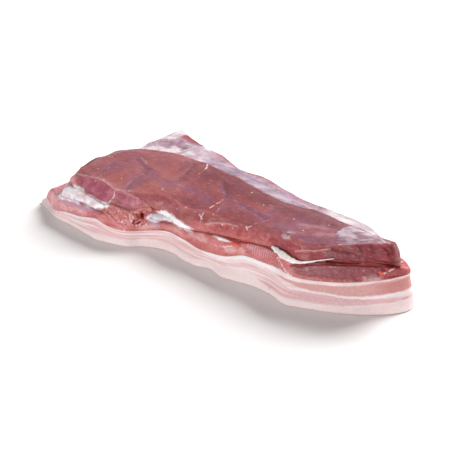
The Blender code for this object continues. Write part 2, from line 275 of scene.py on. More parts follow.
# Insets, reach, roundness (0 straight, 1 round) and lift: (share of the way round, value).
FAT_INSET = [(0, 0.5), (0.2, 0.5), (0.39, 1), (0.41, 2), (0.426, 3.5), (0.44, 6), (0.46, 5), (0.52, 2),
    (0.8, 2), (0.9, 2), (1, 0.5)]
LEAN_INSET = [(0, 1), (0.04, 3), (0.15, 3.5), (0.29, 3), (0.39, 3), (0.41, 4), (0.426, 7), (0.44, 10),
    (0.46, 9), (0.5, 5), (0.52, 3.5), (0.8, 3), (0.9, 3), (1, 1)]
SEAM_REACH = [(0, 6), (0.02, 12), (0.054, 6), (0.072, 2), (0.09, -3), (0.125, -3), (0.142, 6), (0.152, 6),
    (0.172, 4), (0.19, 2), (0.215, -2), (0.3, -3), (0.326, 3), (0.35, 3), (0.365, 3), (0.39, -4), (0.41, -6),
    (0.44, -5), (0.48, -3), (0.5, 5), (0.53, 16), (0.57, 20), (0.62, 19), (0.66, 21), (0.75, 22), (0.84, 25),
    (0.885, 24), (0.92, 8), (0.95, 1), (0.975, 1), (1, 6)]
CREST_INSET = [(0, 9), (0.03, 10), (0.086, 9), (0.106, 7), (0.126, 7), (0.146, 8), (0.2, 10), (0.24, 6),
    (0.3, 4), (0.346, 6), (0.4, 3.5), (0.45, 4), (0.48, 7), (0.55, 9), (0.88, 9), (0.93, 6), (0.98, 6),
    (1, 9)]
CREST_ROUNDNESS = [(0, 0.15), (0.09, 0.15), (0.11, 0.6), (0.14, 1), (0.2, 1), (0.25, 0.6), (0.34, 0.7),
    (0.4, 0.45), (0.45, 0.6), (0.5, 1), (0.9, 1), (0.95, 0.6), (1, 0.15)]
CLEFT_LIFT = [(0, 0), (0.33, 0), (0.37, 1.5), (0.41, 2.6), (0.45, 2.6), (0.48, 0.5), (0.5, 0), (1, 0)]

# %% Rings of the layers
base_ring = outline_ring(BASE_OUTLINE)
top_ring = outline_ring(TOP_OUTLINE)
fat_rim = drawn_in(moved_in(base_ring, round_outline(FAT_INSET)), FAT_TIPS)
lean_rim = drawn_in(moved_in(base_ring, round_outline(LEAN_INSET)), LEAN_TIPS)
seam_reach = np.minimum(round_outline(SEAM_REACH), room_inside(top_ring, lean_rim) - SEAM_MARGIN)
seam_rim = moved_in(top_ring, -seam_reach)
seam_shoulder = moved_in(top_ring, -np.minimum(seam_reach - 1, 0))
crest_ring = moved_in(top_ring, round_outline(CREST_INSET))


def lean_top(plan):
    """Front height to back height of the lean, by a soft step across the cut."""
    v = soft_step(across(plan, *CUT_LINES), 0, 1)
    return part_way(along_cut(plan, LEAN_HEIGHT_FRONT), along_cut(plan, LEAN_HEIGHT_BACK), v)


def fat_top(plan):
    """Height of the fat at its rim: wavy along the front, even along the back."""
    v = soft_step(across(plan, *CUT_LINES), 0, 1)
    return part_way(along_cut(plan, FAT_HEIGHT_FRONT), along_cut(plan, FAT_HEIGHT), v)


def seam_top(plan):
    """The lean's top plus the seam's thickness."""
    return lean_top(plan) + along_cut(plan, SEAM_THICKNESS)


def crest(plan):
    """Front edge to back edge of the upper muscle, plus a crown 4v(1-v) high between them."""
    v = across(plan, *CREST_LINES)
    edge = part_way(along_cut(plan, CREST_HEIGHT_FRONT), along_cut(plan, CREST_HEIGHT_BACK), v)
    return edge + 4 * v * (1 - v) * CROWN


print("slab outline, mm:", base_ring.min(axis=0).round(1), base_ring.max(axis=0).round(1))

# %% [markdown]
# ## A skin is a grid
# Each layer is a closed skin: rings that start at a point on top, run out to the rim, down the wall and
# in again underneath. Rows of the grid are rings, columns run down the skin. Points of a grid are easy to
# push in and out for relief, and easy to close into faces. A sculpted or remeshed body would look as
# good, but its points have no order, and then nothing can be worked out along and across it.

# %% From rings to a skin
TINY = 1e-9
SPINE_SHARE = 0.75          # the spine is this much shorter than the ring
SLIVER = 0.01               # the innermost ring is this share of the way from spine to ring
LATTICE = 32                # the random lattice repeats after so many cells
OFFSET = 1000               # keeps every lattice place above zero


def between(low, high, count, bias=1.0):
    """count values from low to high; a bias over 1 packs them towards low."""
    return low + (high - low) * np.linspace(0, 1, count) ** bias


def towards_spine(ring, front_line, back_line, share):
    """Each point drawn straight towards its place on a spine half way between front and back line."""
    middle = (ring[:, 0].min() + ring[:, 0].max()) / 2
    along = middle + SPINE_SHARE * (ring[:, 0] - middle)
    height = (read_off(along, front_line) + read_off(along, back_line)) / 2
    return part_way(np.stack([along, height], axis=1), ring, share)


def spine_rows(ring, lines, shares, height, value):
    """Rows for a skin: the ring drawn towards its spine, and the height at each of its points."""
    for share in shares:
        plan = towards_spine(ring, *lines, share)
        yield plan, height(plan), value


def skin_of(rows):
    """From (plan, height, value) rows: a curve through each ring's points, and the values over that skin."""
    plans, heights, values = zip(*rows)
    heights = [np.broadcast_to(height, AROUND) for height in heights]
    rings = np.array([np.column_stack(ring) for ring in zip(plans, heights)])
    turned = (np.roll(rings, shift, axis=1)[:, :, None, :] for shift in (1, 0, -1, -2))
    skin = catmull_rom(*turned, (np.arange(STEPS) / STEPS)[None, None, :, None]).reshape(len(rings), -1, 3)
    return skin, np.broadcast_to(np.array(values)[:, None], skin.shape[:2]).copy()


def over_skin(values, skin):
    """One value for each of the AROUND places, spread over the whole skin."""
    places = np.arange(skin.shape[1]) / STEPS
    row = np.interp(places, np.arange(AROUND + 1), np.append(values, values[0]))
    return np.broadcast_to(row, skin.shape[:2]).copy()


def behind_on(skin, front_line, back_line):
    """across() for every point of a skin."""
    return across(skin.reshape(-1, 3)[:, :2], front_line, back_line).reshape(skin.shape[:2])


def normals_of(skin):
    """Cross product of the steps round the ring and down the skin, at unit length, pointing outwards."""
    around = np.roll(skin, -1, axis=1) - np.roll(skin, 1, axis=1)
    down = np.gradient(skin, axis=0)
    normal = np.cross(down, around)
    return normal / np.maximum(np.linalg.norm(normal, axis=2, keepdims=True), TINY)


def pushed(skin, amount):
    """Every point moved along its normal by amount mm, and held inside the solids' box."""
    low, high = np.array(cad_box) / MM
    return np.clip(skin + normals_of(skin) * amount[:, :, None], low, high)


def lumps(points, size, seed):
    """Soft random relief from -1 to 1: values on a lattice of size mm, blended by soft steps in X, Y, Z."""
    values = np.random.default_rng(seed).uniform(-1, 1, (LATTICE, LATTICE, LATTICE))
    place = points / size + OFFSET
    cell = np.floor(place).astype(int)
    u = soft_step(place - cell, 0, 1)
    total = np.zeros(points.shape[:-1])
    for corner in np.ndindex(2, 2, 2):
        weight = np.prod(np.where(corner, u, 1 - u), axis=-1)
        i, j, k = np.moveaxis((cell + corner) % LATTICE, -1, 0)
        total += weight * values[i, j, k]
    return total


def rough(points, *rows):
    """The sum of height * lumps, for rows of (height in mm, size in mm, seed)."""
    return sum(height * lumps(points, size, seed) for height, size, seed in rows)


def furrow(gap, width):
    """1 on a line, falling off to 0 over about width mm: exp(-(gap / width)^2)."""
    return np.exp(-((gap / width) ** 2))


def closed_mesh(name, skin, marks):
    """A mesh from the grid: quads between rows; the first and last ring, drawn thin, are zipped shut.

    The zip joins place k after the ring's start to place k before it. Marks become attributes.
    """
    rows, columns = skin.shape[:2]
    index = np.arange(rows * columns).reshape(rows, columns)
    beside = np.roll(index, -1, axis=1)
    quads = np.stack([index[:-1], index[1:], beside[1:], beside[:-1]], axis=-1).reshape(-1, 4)
    faces = quads.tolist()
    half = columns // 2
    for row in (0, -1):
        there = np.roll(index[row], -int(np.argmin(skin[row, :, 0])))
        back = np.roll(there[::-1], 1)
        zipped = [[there[0], there[1], back[1]], [there[half - 1], there[half], back[half - 1]]]
        sides = there[1:half - 1], there[2:half], back[2:half], back[1:half - 1]
        zipped += np.stack(sides, axis=-1).tolist()
        faces += [face[::-1] for face in zipped] if row else zipped
    mesh = bpy.data.meshes.new(name)
    mesh.from_pydata((skin.reshape(-1, 3) * MM).tolist(), [], faces)
    for mark, values in marks.items():
        attribute = mesh.attributes.new(mark, "FLOAT", "POINT")
        attribute.data.foreach_set("value", values.ravel().astype(np.float32))
    mesh.shade_smooth()
    mesh.update()
    print(f"{name}: {2 * (len(quads) + columns)} triangles, marks {sorted(marks)}")
    return placed(name, mesh)


print("a ring becomes", AROUND * STEPS, "skin points")

# %% [markdown]
# ## Marks: things placed by the photograph
# A mark is a number at every point of a skin: how many millimetres it lies from a groove, or how deep
# inside a patch of film. Looking at the photograph says where a path runs in view. `laid_on` lays it on
# the skin, and distances are measured from there in space, so a mark keeps its width from every side. The
# alternative, painting an image onto the mesh, would hold light and shadow that belong to one view only.

# %% Laying paths on a skin
NEAR_PIXELS = 0.8           # a skin point this close to a pixel counts as under it
OFF_SKIN = 3.0              # a pixel with no skin point within this many pixels is off this skin
FACING = 0.05               # a point is seen if its normal leans at least this much to the camera
REACH = 22.0                # distances are worked out this far from a path, in mm
FAR = 99.0                  # mark value where nothing is near, in mm


def bent(spots, closed=False, steps=4):
    """Catmull-Rom curve through spots, steps places for each; a flat list holds right, down, right, down."""
    spots = np.array(spots, dtype=float)
    if spots.ndim == 1:
        spots = spots.reshape(-1, 2)
    if len(spots) == 1:
        return np.repeat(spots, 2, axis=0)
    if closed:
        padded = np.concatenate([spots[-1:], spots, spots[:2]])
    else:
        padded = np.concatenate([2 * spots[:1] - spots[1:2], spots, 2 * spots[-1:] - spots[-2:-1]])
    four = (padded[i:len(padded) - 3 + i, None, :] for i in range(4))
    curve = catmull_rom(*four, (np.arange(steps) / steps)[None, :, None]).reshape(-1, spots.shape[1])
    return np.concatenate([curve, curve[:1] if closed else spots[-1:]])


class Sight:
    """What the camera sees of a skin: its seen points, their pixels and depths."""

    def __init__(self, skin):
        self.skin = skin
        self.facing = (normals_of(skin) @ away) > FACING
        self.pixel, depth = seen(skin)
        self.shown = skin[self.facing]
        self.shown_pixel = self.pixel[self.facing]
        self.shown_depth = depth[self.facing]

    def laid_on(self, pixels):
        """The skin point under each pixel that is nearest to the eye, and whether the skin reaches there."""
        found, reached = [], []
        for pixel in pixels:
            off = np.linalg.norm(self.shown_pixel - pixel, axis=1)
            nearest = np.argmin(np.maximum(off - NEAR_PIXELS, 0) * FAR + self.shown_depth * MM)
            found.append(self.shown[nearest])
            reached.append(off[nearest] < OFF_SKIN)
        return np.array(found), np.array(reached)

    def from_path(self, pixels):
        """Distance in mm to one path of pixels laid on the skin: the nearest place on each of its steps."""
        path, reached = self.laid_on(pixels)
        gap = np.full(self.skin.shape[:2], FAR)
        if not reached.any():
            return gap
        low = path[reached].min(axis=0) - REACH
        high = path[reached].max(axis=0) + REACH
        near = np.all((self.skin > low) & (self.skin < high), axis=2)
        points = self.skin[near]
        best = np.full(len(points), FAR)
        for k in range(len(path) - 1):
            if reached[k] and reached[k + 1]:
                step = path[k + 1] - path[k]
                share = np.clip((points - path[k]) @ step / max(step @ step, TINY), 0, 1)
                best = np.minimum(best, np.linalg.norm(points - path[k] - share[:, None] * step, axis=1))
        gap[near] = best
        return gap

    def from_patch(self, outline):
        """Signed distance in mm to a patch's edge, below 0 inside (crossing count)."""
        edge = bent(outline, closed=True)
        gap = self.from_path(edge)
        u, v = self.pixel[:, :, 0], self.pixel[:, :, 1]
        inside = np.zeros(gap.shape, dtype=bool)
        for (u1, v1), (u2, v2) in zip(edge[:-1], edge[1:]):
            if v1 != v2:
                inside ^= ((v1 > v) != (v2 > v)) & (u < u1 + (v - v1) * (u2 - u1) / (v2 - v1))
        return np.where(inside & self.facing, -np.minimum(gap, REACH), gap)

    def marks(self, lines, patches):
        """For each name, the distance to the nearest of its lines, or to the nearest of its patches."""
        found = {name: [self.from_path(bent(line)) for line in paths] for name, paths in lines.items()}
        found |= {name: [self.from_patch(path) for path in paths] for name, paths in patches.items()}
        return {name: np.minimum.reduce(gaps) for name, gaps in found.items()}


print("sight lines ready")

# %% [markdown]
# ## Marks that run over several layers
# A sinew, a blob of soft fat or a spot of blood doesn't stop where one layer meets the next. These
# features are listed once, by where they lie in view, and each skin takes up what lies on it. A path is a
# few corners, each written as how far right and how far down it is.

# %% Features that any layer may carry
# Painted glints: spots where light catches wet meat, painted near white; each is a right, down pair.
PAINTED_GLINTS = [213, 213.3, 195, 210.7, 180.5, 160.5, 183.5, 161, 109.5, 155, 112.5, 155.5, 98, 167, 108.5, 166,
    121, 177, 128.5, 189, 95, 180, 252, 193, 294, 217, 264, 204, 317, 206.5, 80, 211, 124, 232, 109, 215,
    115, 211.5, 118, 210.5, 121.5, 221.5, 124.5, 223.5, 133, 225.5, 136, 226, 139.5, 225.8, 143, 226,
    146, 225.5, 186, 206, 176, 208, 104, 178, 275, 197, 329, 224, 303, 228, 221, 225, 232, 229, 146, 206]
SHARED_LINES = {
    "strand": [[110, 205.5, 117, 211, 124, 217, 131, 222.5], [107, 208, 112, 212, 118, 218],
        [131, 211.5, 137, 209, 144, 207.5, 153, 208], [124, 209.5, 129, 214, 133, 218]],
    "sinew": [[280.5, 234.5, 283, 232.3, 287, 230.6, 294, 231], [284, 237.5, 288.5, 236.5],
        [207.5, 163.5, 206.7, 167.5, 205, 170], [214, 245.5, 220, 247, 226, 247, 231, 246.5],
        [210, 206.5, 214, 203.5, 218.5, 201, 223.5, 197.7], [200, 222, 201, 217.5, 203.5, 212.5],
        [201, 217.5, 199.5, 213.5], [200.5, 220, 203, 218.5], [245.5, 226, 247, 230.5],
        [251, 225.5, 247, 228], [113.5, 191, 113.5, 196, 110, 200, 106, 204.5], [162, 187.5, 165, 190],
        [276, 259, 280, 263.5, 283, 269, 287, 274], [275, 259, 279, 258, 284, 260],
        [277, 271, 284, 272, 291, 276], [385, 274.5, 390, 271.5, 395, 269], [129, 214, 130, 219, 133, 222]],
    "hair": [[205, 170, 202, 172, 198, 174], [251, 225, 257, 222, 264, 220, 271, 217],
        [208, 222, 209.5, 219.5, 211, 217.5], [216, 211, 220, 206, 224, 202],
        [137, 155, 141, 157, 145, 160, 147, 162], [66, 188, 60, 192], [292, 243.5, 299, 245, 302, 248],
        [159, 202, 165, 205], [161, 207.5, 167, 210.5], [268, 204, 274, 206], [130, 188, 128.5, 192],
        [178, 183, 185, 185], [278, 272, 286, 274, 292, 276], [366, 281, 374, 279, 381, 279],
        [118, 209, 124, 213], [110, 217, 116, 220], [50, 207, 54, 203, 59, 198.5],
        [282, 233.5, 286, 235, 291, 234]],
    "painted_glint": np.reshape(PAINTED_GLINTS, (-1, 2)),
    # painted shade: creases are pressed in and painted darker along them
    "shaded_crease": [[143, 211.5, 149, 209.8, 154, 210], [119, 206, 122, 209], [122, 218, 124, 219.5],
        [101, 212, 100.5, 216, 103, 221, 108, 226], [383, 268, 386, 270, 384, 275],
        [280, 272, 288, 274.5, 293, 276.5]],
    # painted shade: the cleft is pressed in and painted dark red; at the right corner partly a blood stain
    "cleft_shade_and_stain": [[384, 248.5, 388, 252.5, 391.5, 258, 395, 263], [392, 259.5, 395, 262.5, 401, 261.5],
        [385, 249.5, 389, 253.5, 392.5, 259], [386, 264.5, 393, 263.5, 402, 261.5],
        [382, 269, 385.5, 271.5, 384, 275], [290, 267, 298, 266.2, 305, 265.4, 315, 265, 325, 264.8,
        340, 264.9, 352, 265.3, 362, 265.9, 372, 266.6, 382, 266.9, 390, 266.6, 397, 266.2],
        [366, 265.6, 376, 266, 386, 265.6, 393, 265]],
    "blood": [[231, 241.5, 234, 243.5, 238, 243], [234, 240, 235, 246], [232, 244.5, 237, 246.5],
        [360.5, 280.5, 361.5, 282], [239, 242.6, 250, 240.8], [229, 243, 233, 245.5], [238, 241, 241, 244],
        [380, 273, 383, 276], [123.2, 217.6, 124.2, 218.4], [228, 237.5, 231, 238.5]],
    "lavender": [[59, 190, 64, 188], [58, 193, 60, 198], [62, 201, 70, 204, 78, 206, 86, 208, 98, 209],
        [114, 209.5, 117, 211], [120, 219, 127, 223.5], [140, 223.5, 144, 219],
        [146, 219, 151, 222, 158, 223], [184, 139, 190, 143, 196, 147], [190, 148, 200, 150, 206, 153],
        [143, 148, 150, 144], [198, 156, 207, 160, 217, 163.5, 228, 168],
        [241, 174, 250, 179, 260, 184, 268, 188], [286, 192, 292, 197, 298, 202]],
}
SHARED_PATCHES = {
    "white": [[59, 196, 63, 191, 69, 186, 77, 186, 83, 190, 85, 196, 83, 201, 76, 203, 67, 200, 61, 199],
        [84, 196, 90, 195, 96, 199, 101, 202, 107, 203, 108, 207, 102, 208, 94, 208, 88, 207, 84, 202],
        [146, 217.5, 150, 214.5, 157, 212, 163, 211, 169, 213.5, 176, 218.5, 183, 223.5, 189, 227, 193, 231,
        187, 230.5, 181, 228, 175, 224.5, 169, 221.5, 162, 220.5, 155, 222, 149, 220], [213, 235, 218, 235.8,
        225, 238, 230, 241, 227, 242, 220, 240.5, 216, 238]],
    "torn": [[103, 206, 108, 204.5, 114, 205.5, 121, 208.5, 130, 209.5, 139, 208, 147, 208, 152, 210,
        148, 216, 150, 222, 144, 226.5, 133, 227, 122, 225, 112, 220, 105, 213]],
}


def shared_relief(skin, marks):
    """White fat and sinews stand up, creases and clefts are pressed in, the torn place is in shreds."""
    shreds = rough(skin, (0.6, 3.0, 41), (0.35, 1.6, 42)) + 0.8 * furrow(marks["strand"], 1.3)
    return (0.22 * soft_step(-marks["white"], -0.8, 1.6) + 0.2 * furrow(marks["sinew"], 0.8)
            - 0.3 * furrow(marks["shaded_crease"], 0.9) - 0.6 * furrow(marks["cleft_shade_and_stain"], 1.1)
            + shreds * soft_step(-marks["torn"], -1, 1.5))


print("shared features:", sorted(SHARED_LINES), sorted(SHARED_PATCHES))

# %% [markdown]
# ## The belly fat
# On the real cut this is rind below and firm fat above it, in streaks that run along the whole belly:
# white, salmon, white, dusty pink, pale rind. The streaks are layers, so their height is worked out as a
# share of the wall, the same all round, and they turn up again at the back. The foot turns under in a
# quarter circle, because soft meat settles on its rind.

# %% Skin of the belly fat
SALMON_MIDDLE = [(60, 0.8), (94, 0.78), (111, 0.71), (138, 0.7), (165, 0.77)]
SALMON_HALF = [(60, -0.08), (80, -0.02), (94, 0.03), (111, 0.11), (138, 0.15), (165, 0.17)]
DUSTY_MIDDLE = [(-160, 0.5), (-121, 0.5), (-96, 0.6), (-75, 0.7), (-45, 0.77), (-28, 0.62), (-6, 0.62),
    (14, 0.71), (35, 0.72), (53, 0.56), (68, 0.4), (94, 0.42), (111, 0.35), (138, 0.34), (165, 0.36)]
DUSTY_HALF = [(-160, 0.12), (-121, 0.17), (-75, 0.25), (-45, 0.17), (-28, 0.22), (-6, 0.26), (14, 0.14),
    (35, 0.12), (53, 0.1), (68, 0.16), (111, 0.15), (138, 0.11), (165, -0.02)]
FAT_LINES = {
    "thin": [[287, 288, 300, 290.5, 313, 293, 330, 295.5, 345, 298, 362, 298.8, 380, 297.8, 400, 293]],
    "spot": [[403, 299.5, 408, 298], [268, 288, 268.5, 290]],
}
RIM_CLEAR = 0.12            # relief dies out over this share of the wall below the lean
RAGGED_FOOT = 2.2           # the foot of the wall wanders this far at most, in mm
RAGGED_SPAN = (-150, -125, 35, 75)      # where it does: x in mm of its start, full, fading and end
TOP_SUNK = 1.0              # the fat's hidden top lies this much below its rim, in mm
FAT_WALL_ROWS = 44
FOOT_ROWS = 6
RIND_ROWS = 9


def belly_fat_rows():
    """Rings of the top, the wall, the quarter circle of the foot, and the rind, with the wall's share."""
    rim = fat_top(fat_rim)
    yield from spine_rows(fat_rim, CUT_LINES, (SLIVER, 0.4, 0.8, 0.97),
                          lambda plan: np.minimum(along_cut(plan, FAT_HEIGHT), rim) - TOP_SUNK, 1.0)
    for share in between(1, 0, FAT_WALL_ROWS):
        yield part_way(base_ring, fat_rim, share), part_way(FOOT_ROUNDING, rim, share), share
    for drop in np.radians(between(15, 90, FOOT_ROWS)):
        inset = FOOT_ROUNDING * (1 - np.cos(drop))
        yield moved_in(base_ring, inset), FOOT_ROUNDING * (1 - np.sin(drop)), 0.0
    foot_ring = moved_in(base_ring, FOOT_ROUNDING)
    yield from spine_rows(foot_ring, CUT_LINES, between(0.97, SLIVER, RIND_ROWS), lambda plan: 0, -1.0)


def streak_gap(skin, share, middle, half):
    """Millimetres from the edge of a streak of the wall, below 0 inside it."""
    plan = skin.reshape(-1, 3)[:, :2]
    gap = np.abs(share.ravel() - along_cut(plan, middle)) - along_cut(plan, half)
    return np.where(share.ravel() < 0, FAR, gap * along_cut(plan, FAT_HEIGHT)).reshape(share.shape)


fat_skin, share = skin_of(belly_fat_rows())
x, z = fat_skin[:, :, 0], fat_skin[:, :, 2]
ragged_foot = rough(fat_skin * [1, 1, 0], (RAGGED_FOOT, 13, 5)) * window(x, *RAGGED_SPAN)
fat_skin[:, :, 1] += ragged_foot * soft_step(-z, -14, -1)
fat_marks = Sight(fat_skin).marks(FAT_LINES, {}) | {
    "share": share,
    "salmon": streak_gap(fat_skin, share, SALMON_MIDDLE, SALMON_HALF),
    "dusty": streak_gap(fat_skin, share, DUSTY_MIDDLE, DUSTY_HALF),
}
fat_relief = (rough(fat_skin, (0.5, 16, 3)) + rough(fat_skin * [0.4, 0.4, 1.6], (0.22, 4, 4)) - 0.4
              - 0.25 * soft_step(-fat_marks["salmon"], -1, 1) - 0.2 * soft_step(-fat_marks["dusty"], -1, 1))
fat_relief *= soft_step(z, 0.2, 4) * soft_step(share, -1, 0) * soft_step(1 - share, 0, RIM_CLEAR)
belly_fat = closed_mesh("streaky_fat", pushed(fat_skin, fat_relief), fat_marks)

# %% [markdown]
# ## The lower muscle
# This is the lean that shows as a rounded shelf along the front and as a wide ledge behind. Its wall is a
# quarter turn from rim to shelf. The knife and the butcher's fingers have left a fold, torn ends, bead
# like lumps and a red bruise on it, so those are pressed in as relief where the photograph shows them.

# %% Skin of the lower muscle
LEAN_LINES = {
    "foot": [[120, 231, 128, 232.8, 140, 232, 152, 231, 164, 230],
        [204, 249.5, 215, 253, 228, 255.5, 240, 255.5], [104, 223, 112, 228, 118, 230.5],
        [295, 277, 310, 279.5, 330, 281, 350, 282]],
    "pale": [[190, 235, 199, 240], [226, 251, 241, 251.6], [51, 198, 51, 206], [252, 262, 262, 267],
        [68, 208, 84, 213], [366, 280.5, 378, 280], [140, 228, 155, 227], [170, 228, 180, 234],
        [60, 205, 64, 209], [200, 233, 204, 240]],
    "pink": [[213, 153, 222, 156, 230, 161.5, 236, 167], [243, 171, 256, 175, 268, 179.5, 280, 187],
        [284, 188.5, 294, 194, 303, 199]],
}
LEAN_PATCHES = {
    "ribbed": [[247, 244, 255, 243.5, 262, 247, 269, 250, 271, 255, 266, 258, 258, 256, 250, 250]],
    # painted shade: the lean under the overhanging long muscle, below the cleft
    "shade_below_cleft": [[292, 267, 305, 265, 325, 264, 350, 264, 378, 267, 385, 271, 380, 280, 355, 282.4, 330, 281.4,
        308, 278.6, 294, 273]],
    "mauve": [[153, 141, 160, 139, 168, 139, 176, 138.3, 182, 138.5, 186, 143, 187.5, 148, 184, 149.3,
        179, 145.5, 174, 144, 167, 147, 161, 145, 155, 143]],
    "red": [[184.5, 135.5, 190, 135.5, 195, 138.5, 200, 142, 204, 145.5, 198, 146, 192, 142, 187, 138.5]],
}
HIDDEN_SHARES = (SLIVER, 0.5, 0.8)      # rings under the muscle, as shares of the way from its spine
RIB_STEP = 2.1              # mm from rib to rib
SWELL = 3.2                 # mm that the ledge swells up behind
SWELL_AT = -90              # at this x, in mm
SWELL_WIDTH = 14
FOOT_CLEAR = 0.22           # relief dies out over this share of the wall's rise above the fat
FOOT_TUCK = 0.5             # the foot of the lean reaches this far below the fat's rim, in mm
SOLE_TUCK = 3.0             # and its sole this far
LEDGE_ROWS = 38
LEAN_WALL_ROWS = 46


def lower_muscle_rows():
    """Rings of the flat under the seam, the ledge, the quarter turn of the wall, the foot, and the rise."""
    yield from spine_rows(seam_shoulder, CREST_LINES, HIDDEN_SHARES, lean_top, 1.0)
    for share in between(0, 1, LEDGE_ROWS):
        plan = part_way(seam_shoulder, lean_rim, share)
        yield plan, lean_top(plan), 1.0
    low, high = fat_top(fat_rim), lean_top(lean_rim)
    for turn in between(0.98, 0, LEAN_WALL_ROWS) * math.pi / 2:
        yield part_way(fat_rim, lean_rim, 1 - np.cos(turn)), part_way(low, high, np.sin(turn)), np.sin(turn)
    for share, tuck in ((0.97, FOOT_TUCK), (0.6, SOLE_TUCK), (SLIVER, SOLE_TUCK)):
        yield towards_spine(fat_rim, *CUT_LINES, share), low - tuck, 0.0


lean_skin, rise = skin_of(lower_muscle_rows())
lean_sight = Sight(lean_skin)
lean_marks = lean_sight.marks(SHARED_LINES | LEAN_LINES, SHARED_PATCHES | LEAN_PATCHES)
lean_marks |= {"rise": rise, "behind": behind_on(lean_skin, *CUT_LINES)}
x = lean_skin[:, :, 0]
at_back = soft_step(lean_marks["behind"], 0.6, 0.85)
lean_relief = (rough(lean_skin, (0.5, 16, 11), (0.35, 7, 12), (0.15, 3, 13))
               + 0.25 * np.cos(2 * math.pi * x / RIB_STEP) * soft_step(-lean_marks["ribbed"], -1, 1)
               + rough(lean_skin, (0.5, 2.2, 15)) * soft_step(-lean_marks["blood"], -2.5, -1)
               + 1.1 * soft_step(-lean_marks["white"], -2.6, 0.4) * soft_step(-x, 85, 95) * (1 - at_back)
               + shared_relief(lean_skin, lean_marks) - 0.5
               + SWELL * at_back * furrow(x - SWELL_AT, SWELL_WIDTH))
lean_relief *= soft_step(rise, 0, FOOT_CLEAR)
lower_muscle = closed_mesh("shelf_of_lean", pushed(lean_skin, lean_relief), lean_marks)

# %% [markdown]
# ## The seam of white fat
# Between the muscles lies soft white fat. At the left front it swells out in lumps, along the front it
# shows in a small wedge and a flap, and along the back it spreads thin over the ledge as a bluish skin.
# Its edge is worked down to nothing there, because a step would look like a cut sheet of plastic.

# %% Skin of the seam fat
SEAM_LINES = {
    "big_lump": [[65, 194, 72, 195, 79, 194]],
    "small_lump": [[89, 200, 97, 204]],
    "pink": [[70, 185, 76, 185], [75, 198, 80, 196, 84, 199], [66, 196, 70, 198], [90, 203, 95, 205],
        [181.5, 153]],
}
LUMP_SIZES = {"big_lump": (6.5, 1.2), "small_lump": (5.0, 1.0)}     # width and height in mm
SEAM_ROWS = 44
SEAM_SUNK = 1.5             # the seam's underside lies this far in the lean, in mm


def seam_fat_rows():
    """Rings over the top, thinning from the muscle's edge out to nothing at the rim, and back below."""
    yield from spine_rows(seam_shoulder, CREST_LINES, HIDDEN_SHARES, seam_top, 0.0)
    wide = soft_step(seam_reach, 8, 14)
    for share in between(0, 1, SEAM_ROWS):
        plan = part_way(seam_shoulder, seam_rim, share)
        thin = part_way(1 - share**2.2, 1 - share, wide)
        yield plan, part_way(lean_top(plan), seam_top(plan), thin) + 0.25 * (1 - share), share
    yield from spine_rows(seam_rim, CREST_LINES, (0.97, 0.6, SLIVER),
                          lambda plan: lean_top(plan) - SEAM_SUNK, 1.0)


seam_skin, out = skin_of(seam_fat_rows())
seam_sight = Sight(seam_skin)
seam_marks = seam_sight.marks(SHARED_LINES | SEAM_LINES, SHARED_PATCHES)
seam_marks |= {"behind": over_skin(soft_step(seam_reach, 12, 16), seam_skin), "out": out}
seam_relief = rough(seam_skin, (0.25, 12, 21), (0.12, 4, 22)) - 0.2
lump_share = np.zeros(out.shape)
for name, (width, height) in LUMP_SIZES.items():
    lump = furrow(seam_marks.pop(name), width)
    seam_relief += height * lump
    lump_share = np.maximum(lump_share, lump)
seam_relief += lump_share * rough(seam_skin, (0.7, 5, 23), (0.5, 2.2, 24))
seam_fat = closed_mesh("white_seam", pushed(seam_skin, seam_relief), seam_marks)

# %% [markdown]
# ## The upper muscle
# The long flat muscle on top is brownish where its thin skin has dried, and magenta where the knife went
# through it slantwise at the left. Dark grooves cross it, white sinews break through, and a milky film
# covers its right end. Grooves and torn places are real relief; the rest is marked for the finish.

